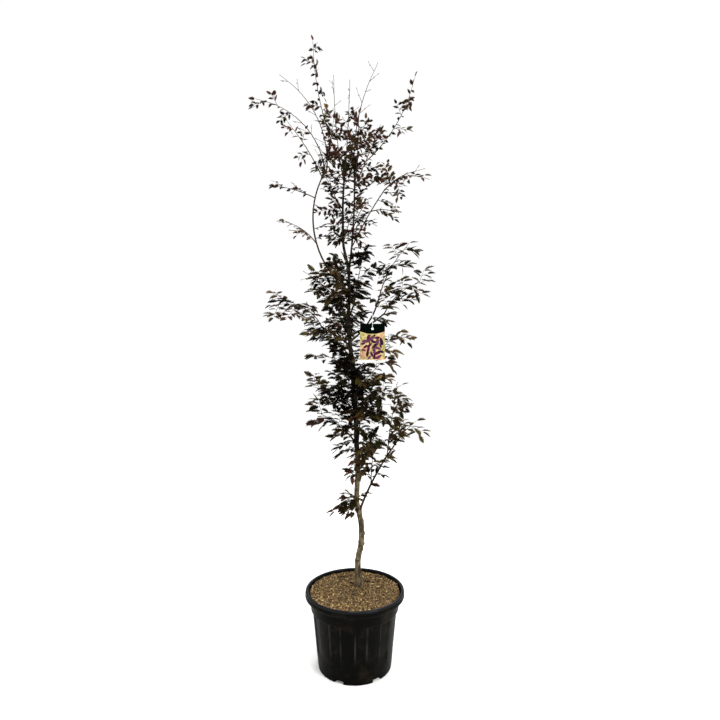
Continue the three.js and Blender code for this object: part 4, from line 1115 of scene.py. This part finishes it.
def make_pot():
    wall_heights = np.concatenate([
        [9, 13, 16.4, 16.9, 17.1, 17.6, 22], np.arange(30, 60, 10), np.arange(60, 272, 8),
        [274, 277, 279, 280, 281, 282, 283],
    ])
    wall = [(lerp(FOOT_RADIUS, WALL_TOP_RADIUS, z / COLLAR_FOOT), z) for z in wall_heights]
    section = np.array(FOOT_SECTION + wall + LIP_SECTION)
    row = np.arange(len(section))[:, None]
    above_wall = len(FOOT_SECTION) + len(wall)
    angles = pot_angles()
    radius = np.repeat(section[:, :1], len(angles), axis=1)
    height = section[:, 1:]

    off = off_nearest(angles, FLUTE_FIRST, FLUTES)
    bay = 1 - smoothstep(np.abs(off), FLUTE_WIDTH / 2 - FLUTE_EDGE, FLUTE_WIDTH / 2 + FLUTE_EDGE)
    bay = bay * smoothstep(height, FLUTE_FOOT, FLUTE_FOOT + FLUTE_RUN_OUT)
    bay = bay * (1 - smoothstep(height, FLUTE_TOP - 2, FLUTE_TOP + 1))
    flat = (radius * math.cos(math.radians(FLUTE_WIDTH / 2)) - FLUTE_DEPTH) / np.cos(np.radians(off))
    on_wall = (row >= len(FOOT_SECTION)) & (row < above_wall)
    radius = np.where(on_wall, lerp(radius, np.minimum(flat, radius), bay), radius)

    aside = off_nearest(angles, NOTCH_FIRST, NOTCHES)
    cut = (np.abs(aside) < NOTCH_HALF) & (height < NOTCH_HEIGHT) & (row < above_wall)
    radius = np.where(cut, np.minimum(radius, NOTCH_BED / np.cos(np.radians(aside))), radius)

    turn = np.radians(angles)[None, :]
    levels = np.broadcast_to(height, radius.shape)
    rings = np.stack([radius * np.cos(turn), radius * np.sin(turn), levels], axis=-1)
    heap = Heap()
    heap.add_rings(rings, (0, 0, 0), (0, 0, POT_FLOOR))
    heap.piece("pot_shell", [black_plastic()], "pot_plastic", replaced=["pot"])


# Mulch

BED_REACH, BED_RINGS, BED_SIDES, BED_UNEVENNESS = 226, 56, 180, 1.6
# How the bed ends under its edge, as radius and height
BED_UNDERSIDE = [(228.6, 350), (228.4, 345), (209, 296), (203, 285), (174, 24), (168, 21.4)]
CHIPS, CHIP_REACH, CHIP_EDGE = 13000, 222, 229.5
# Length, width and thickness of a chip: shape and scale of its draw, then the least and the most
CHIP_SIZES = [(5, 1.6, 4, 22), (6, 0.72, 2, 8), (6, 0.42, 1, 4.2)]
# How unlike a block a chip is, how it tips and rolls, how high it lies and how deep in a pit it may
CHIP_SKEW, CHIP_TIP, CHIP_ROLL, CHIP_LIFT, CHIP_SUNK_MOST = (0.6, 1.25), 0.34, 0.4, (-0.4, 3.4), 0.3
# The chips keep off the trunk, in a low heap round it
TRUNK_GAP, HEAP_HEIGHT, HEAP_WIDTH = 26, 2.5, 22
# Small dark hollows in the chips: where they are and how wide
PITS = [(58, 101, 17), (-66, 161, 9), (-125, 77, 9), (-159, -97, 6), (-14, 89, 11)]
PIT_DEPTH = 9
CHIP_TINTS = {
    "chip tan": ((126, 101, 60), (86, 67, 37), 0.30),
    "chip pale": ((194, 169, 116), (142, 116, 70), 0.12),
    "chip ochre": ((98, 72, 38), (66, 47, 24), 0.30),
    "chip brown": ((64, 45, 25), (37, 26, 15), 0.20),
    "chip red brown": ((72, 36, 24), (42, 22, 15), 0.02),
    "chip dark": ((28, 21, 14), (16, 12, 8), 0.10),
}


def bed_level(x, y):
    away = np.hypot(x, y)
    level = lerp(SOIL_LEVEL, SOIL_EDGE, smoothstep(away, 120, BED_REACH))
    return level + BED_UNEVENNESS * np.sin(x / 23 + 1.7) * np.cos(y / 29) - 2


def pits_at(x, y):
    """How deep in each pit every place lies, from 0 to 1."""
    return [np.exp(-(np.hypot(x - pit_x, y - pit_y) / size) ** 4) for pit_x, pit_y, size in PITS]


def make_bed():
    """A closed bed of soil with a rough top, filling the pot to just under the lip."""
    turn = round_turns(BED_SIDES)

    def rings(radii, heights):
        x, y = radii[:, None] * np.cos(turn), radii[:, None] * np.sin(turn)
        return np.stack([x, y, heights(x, y)], axis=-1)

    top = rings(np.linspace(4, BED_REACH, BED_RINGS), bed_level)
    top[:, :, 2] += rough(top.reshape(-1, 3), 7, 5).reshape(BED_RINGS, BED_SIDES) * BED_UNEVENNESS
    for sunk in pits_at(top[:, :, 0], top[:, :, 1]):
        top[:, :, 2] -= PIT_DEPTH * sunk
    radii, levels = np.array(BED_UNDERSIDE).T
    under = rings(radii, lambda x, y: np.broadcast_to(levels[:, None], x.shape))
    heap = Heap()
    heap.add_rings(np.concatenate([top, under]), (0, 0, bed_level(0, 0)), (0, 0, levels[-1]), downward=True)
    soil = chip_finish("damp soil", (50, 36, 23), (28, 20, 13))
    heap.piece("mulch_bed", [soil], "mulch", replaced=["soil"])


def make_chips():
    """Loose splinters, kept off the trunk, heaped a little round it and swept out of the pits."""
    dice = np.random.default_rng(11)
    corner = np.array([(x, y, z) for x in (-1, 1) for y in (-1, 1) for z in (-1, 1)], float) / 2
    faces = np.array([(0, 1, 3, 2), (4, 6, 7, 5), (0, 4, 5, 1), (2, 3, 7, 6), (0, 2, 6, 4), (1, 5, 7, 3)])
    size = np.stack([
        dice.gamma(shape, scale, CHIPS).clip(least, most) for shape, scale, least, most in CHIP_SIZES
    ], axis=-1)
    away = CHIP_REACH * np.sqrt(dice.uniform(0, 1, CHIPS))
    turn = dice.uniform(0, 2 * math.pi, CHIPS)
    x, y = away * np.cos(turn), away * np.sin(turn)
    trunk = trunk_axis(SOIL_LEVEL)
    gap = np.hypot(x - trunk[0], y - trunk[1])
    push = np.maximum(TRUNK_GAP - gap, 0) / np.maximum(gap, 1)
    x, y = x + (x - trunk[0]) * push, y + (y - trunk[1]) * push
    past_gap = np.hypot(x - trunk[0], y - trunk[1]) - TRUNK_GAP
    heaped = HEAP_HEIGHT * np.exp(-(past_gap / HEAP_WIDTH) ** 2)
    sunk = np.max(pits_at(x, y), axis=0)
    z = bed_level(x, y) + dice.uniform(*CHIP_LIFT, CHIPS) + heaped - PIT_DEPTH * sunk

    spots = corner * dice.uniform(*CHIP_SKEW, (CHIPS, 8, 3)) * size[:, None, :]
    yaw = dice.uniform(0, 2 * math.pi, CHIPS)
    tip, roll = dice.normal(0, CHIP_TIP, CHIPS), dice.normal(0, CHIP_ROLL, CHIPS)
    for angle, first, second in ((roll, 1, 2), (tip, 0, 2), (yaw, 0, 1)):
        c, s = np.cos(angle)[:, None], np.sin(angle)[:, None]
        one, other = spots[:, :, first].copy(), spots[:, :, second].copy()
        spots[:, :, first], spots[:, :, second] = one * c - other * s, one * s + other * c
    spots += np.stack([x, y, z], axis=-1)[:, None, :]
    reach = np.hypot(spots[:, :, 0], spots[:, :, 1]).max(axis=1)
    spots = spots[(reach < CHIP_EDGE) & (sunk < CHIP_SUNK_MOST)]

    shares = np.array([row[2] for row in CHIP_TINTS.values()])
    tints = dice.choice(len(CHIP_TINTS), size=len(spots), p=shares / shares.sum())
    corners = np.arange(len(spots))[:, None, None] * 8 + faces
    heap = Heap()
    heap.add(spots.reshape(-1, 3), corners.reshape(-1, 4), finish=np.repeat(tints, len(faces)))
    materials = [chip_finish(name, light, shade) for name, (light, shade, _) in CHIP_TINTS.items()]
    heap.piece("mulch_chips", materials, "mulch", smooth=False)


# Hang tag

PRINT_LEAVES, PRINT_SIDES, PRINT_LEAF_LENGTH, PRINT_SPREAD = 25, 20, 34, (4, 58)
PRINT_TINTS = {
    "ink aubergine": (44, 17, 38), "ink wine": (74, 26, 50), "ink mauve": (98, 50, 76),
}


def make_tag():
    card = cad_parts["hang_tag"]
    card.data.materials.clear()
    card.data.materials.append(card_print())
    heap = Heap()
    middle = np.array([TAG_MIDDLE, (PICTURE_TOP + PICTURE_FOOT) / 2])
    for i in range(PRINT_LEAVES):
        angle = math.radians(i * GOLDEN_ANGLE + 20)
        away = lerp(*PRINT_SPREAD, math.sqrt((i + 0.5) / PRINT_LEAVES))
        centre = middle + away * np.array([math.cos(angle) * 0.95, math.sin(angle) * 1.12])
        turn = 0.7 + spread(5, i, 2.6)
        way = np.array([math.cos(turn), math.sin(turn)]) * (1 if i % 2 else -1)
        length = PRINT_LEAF_LENGTH * (0.7 + 0.5 * scatter(3, i))
        proud = (0.12 + 0.03 * i) * 0.2
        add_print_leaf(heap, centre, way, length, proud, i % len(PRINT_TINTS))
    inks = [ink(name, colour) for name, colour in PRINT_TINTS.items()]
    heap.piece("tag_print", inks, "tag_card", smooth=False)
    make_loop()


def add_print_leaf(heap, centre, way, length, proud, finish):
    """A flat printed leaf: a pointed oval standing a hair off the card."""
    here = np.arange(PRINT_SIDES)
    after = (here + 1) % PRINT_SIDES
    turn = round_turns(PRINT_SIDES)
    long = -np.cos(turn) * 0.5
    wide = np.sin(turn) * 0.23 * (1 + 0.25 * np.cos(turn)) * (1 - 0.18 * (here % 2))
    across = np.array([-way[1], way[0]])
    outline = centre + way * long[:, None] * length + across * wide[:, None] * length
    outline = outline.clip((TAG_LEFT + 3, PICTURE_FOOT + 3), (TAG_LEFT + TAG_WIDTH - 3, PICTURE_TOP - 4))
    flat = np.stack([outline[:, 0], np.full(PRINT_SIDES, TAG_FRONT - proud), outline[:, 1]], axis=-1)
    sunk = flat * (1, 0, 1) + (0, TAG_FRONT + 0.1, 0)
    fan = np.stack([here, after, np.full(PRINT_SIDES, 2 * PRINT_SIDES)], axis=-1)
    edge = np.stack([here + PRINT_SIDES, after + PRINT_SIDES, after, here], axis=-1)
    heap.add(np.concatenate([flat, sunk, [flat.mean(axis=0)]]), fan, edge, finish=finish)


def make_loop():
    """The loop hangs over the bough behind the tag and down through the tag's hole."""
    points = limbs["bough_tag"]
    after = next(i for i, point in enumerate(points) if point[0] >= TAG_MIDDLE)
    low = points[after - 1]
    way = unit(points[after] - low)
    held = low + way * (TAG_MIDDLE - low[0]) / way[0]
    *_, width_from, width_to = BOUGHS["bough_tag"]
    bough_radius = lerp(width_from, width_to, (after - 1) / (len(points) - 1)) / 2
    top = held[2] + (bough_radius + LOOP_WIRE) / way[0]
    bottom = TAG_TOP - HOLE_DROP + HOLE_RADIUS - LOOP_WIRE - LOOP_SLACK
    turn = round_turns(LOOP_STEPS)
    share = (np.sin(turn) + 1) / 2
    depth = lerp(TAG_DEPTH, held[1], share) + LOOP_REACH * np.cos(turn)
    path = np.stack([np.full(LOOP_STEPS, TAG_MIDDLE), depth, lerp(bottom, top, share)], axis=-1)
    ways = np.roll(path, -1, axis=0) - np.roll(path, 1, axis=0)
    ways /= np.linalg.norm(ways, axis=1)[:, None]
    one = np.array([1.0, 0.0, 0.0])
    other = np.cross(ways, one)[:, None, :]
    round_wire = round_turns(LOOP_SIDES)[None, :, None]
    spots = path[:, None, :] + LOOP_WIRE * (np.cos(round_wire) * one + np.sin(round_wire) * other)
    heap = Heap()
    faces = ring_faces(LOOP_STEPS + 1, LOOP_SIDES) % (LOOP_STEPS * LOOP_SIDES)
    heap.add(spots.reshape(-1, 3), faces)
    heap.piece("tag_tie", [pale_plastic()], "tag_loop", replaced=["tag_loop"])


# Studio

def make_studio():
    scene = bpy.context.scene
    corners = [(x, y, 0) for x, y in ((-14, -14), (14, -14), (14, 14), (-14, 14))]
    floor_mesh = bpy.data.meshes.new("studio_floor")
    floor_mesh.from_pydata(corners, [], [(0, 1, 2, 3)])
    floor = placed("studio_floor", floor_mesh)
    paper = Finish("white studio paper")
    white = paper.mix((255, 255, 254), (253, 253, 252), paper.noise(3, 3))
    floor_mesh.materials.append(paper.dress(white, 0.9))

    world = bpy.data.worlds.new("studio")
    scene.world = world
    world.use_nodes = True
    background = world.node_tree.nodes["Background"]
    background.inputs["Color"].default_value = (1.0, 1.0, 1.0, 1.0)
    background.inputs["Strength"].default_value = 1.03

    for name, spot, aim_height, size, power in (
        ("key light", (3.2, -3.4, 3.6), 1.5, 2.4, 230),
        ("overhead light", (0, -0.5, 4.4), 1.5, 1.2, 110),
        ("fill light", (-3.4, -2.6, 2.6), 1.4, 2.6, 30),
        ("back light", (0.8, 3.6, 4.0), 1.8, 2.2, 110),
    ):
        light = bpy.data.lights.new(name, "AREA")
        light.shape, light.size, light.energy = "DISK", size, power
        lamp = placed(name, light)
        lamp.location = spot
        aim = Vector((0, 0, aim_height)) - Vector(spot)
        lamp.rotation_euler = aim.to_track_quat("-Z", "Y").to_euler()

    lens = bpy.data.cameras.new("camera")
    lens.lens, lens.sensor_width, lens.clip_end = 25, 36, 100
    camera = placed("camera", lens)
    camera.location = (0.026, -2.53, 1.53)
    camera.rotation_euler = (math.radians(90), 0, 0)
    scene.camera = camera
    scene.view_settings.view_transform = "Standard"


make_studio()
grow_limbs()
make_pot()
make_bed()
make_chips()
make_trunk()
make_boughs()
make_foliage()
make_tag()
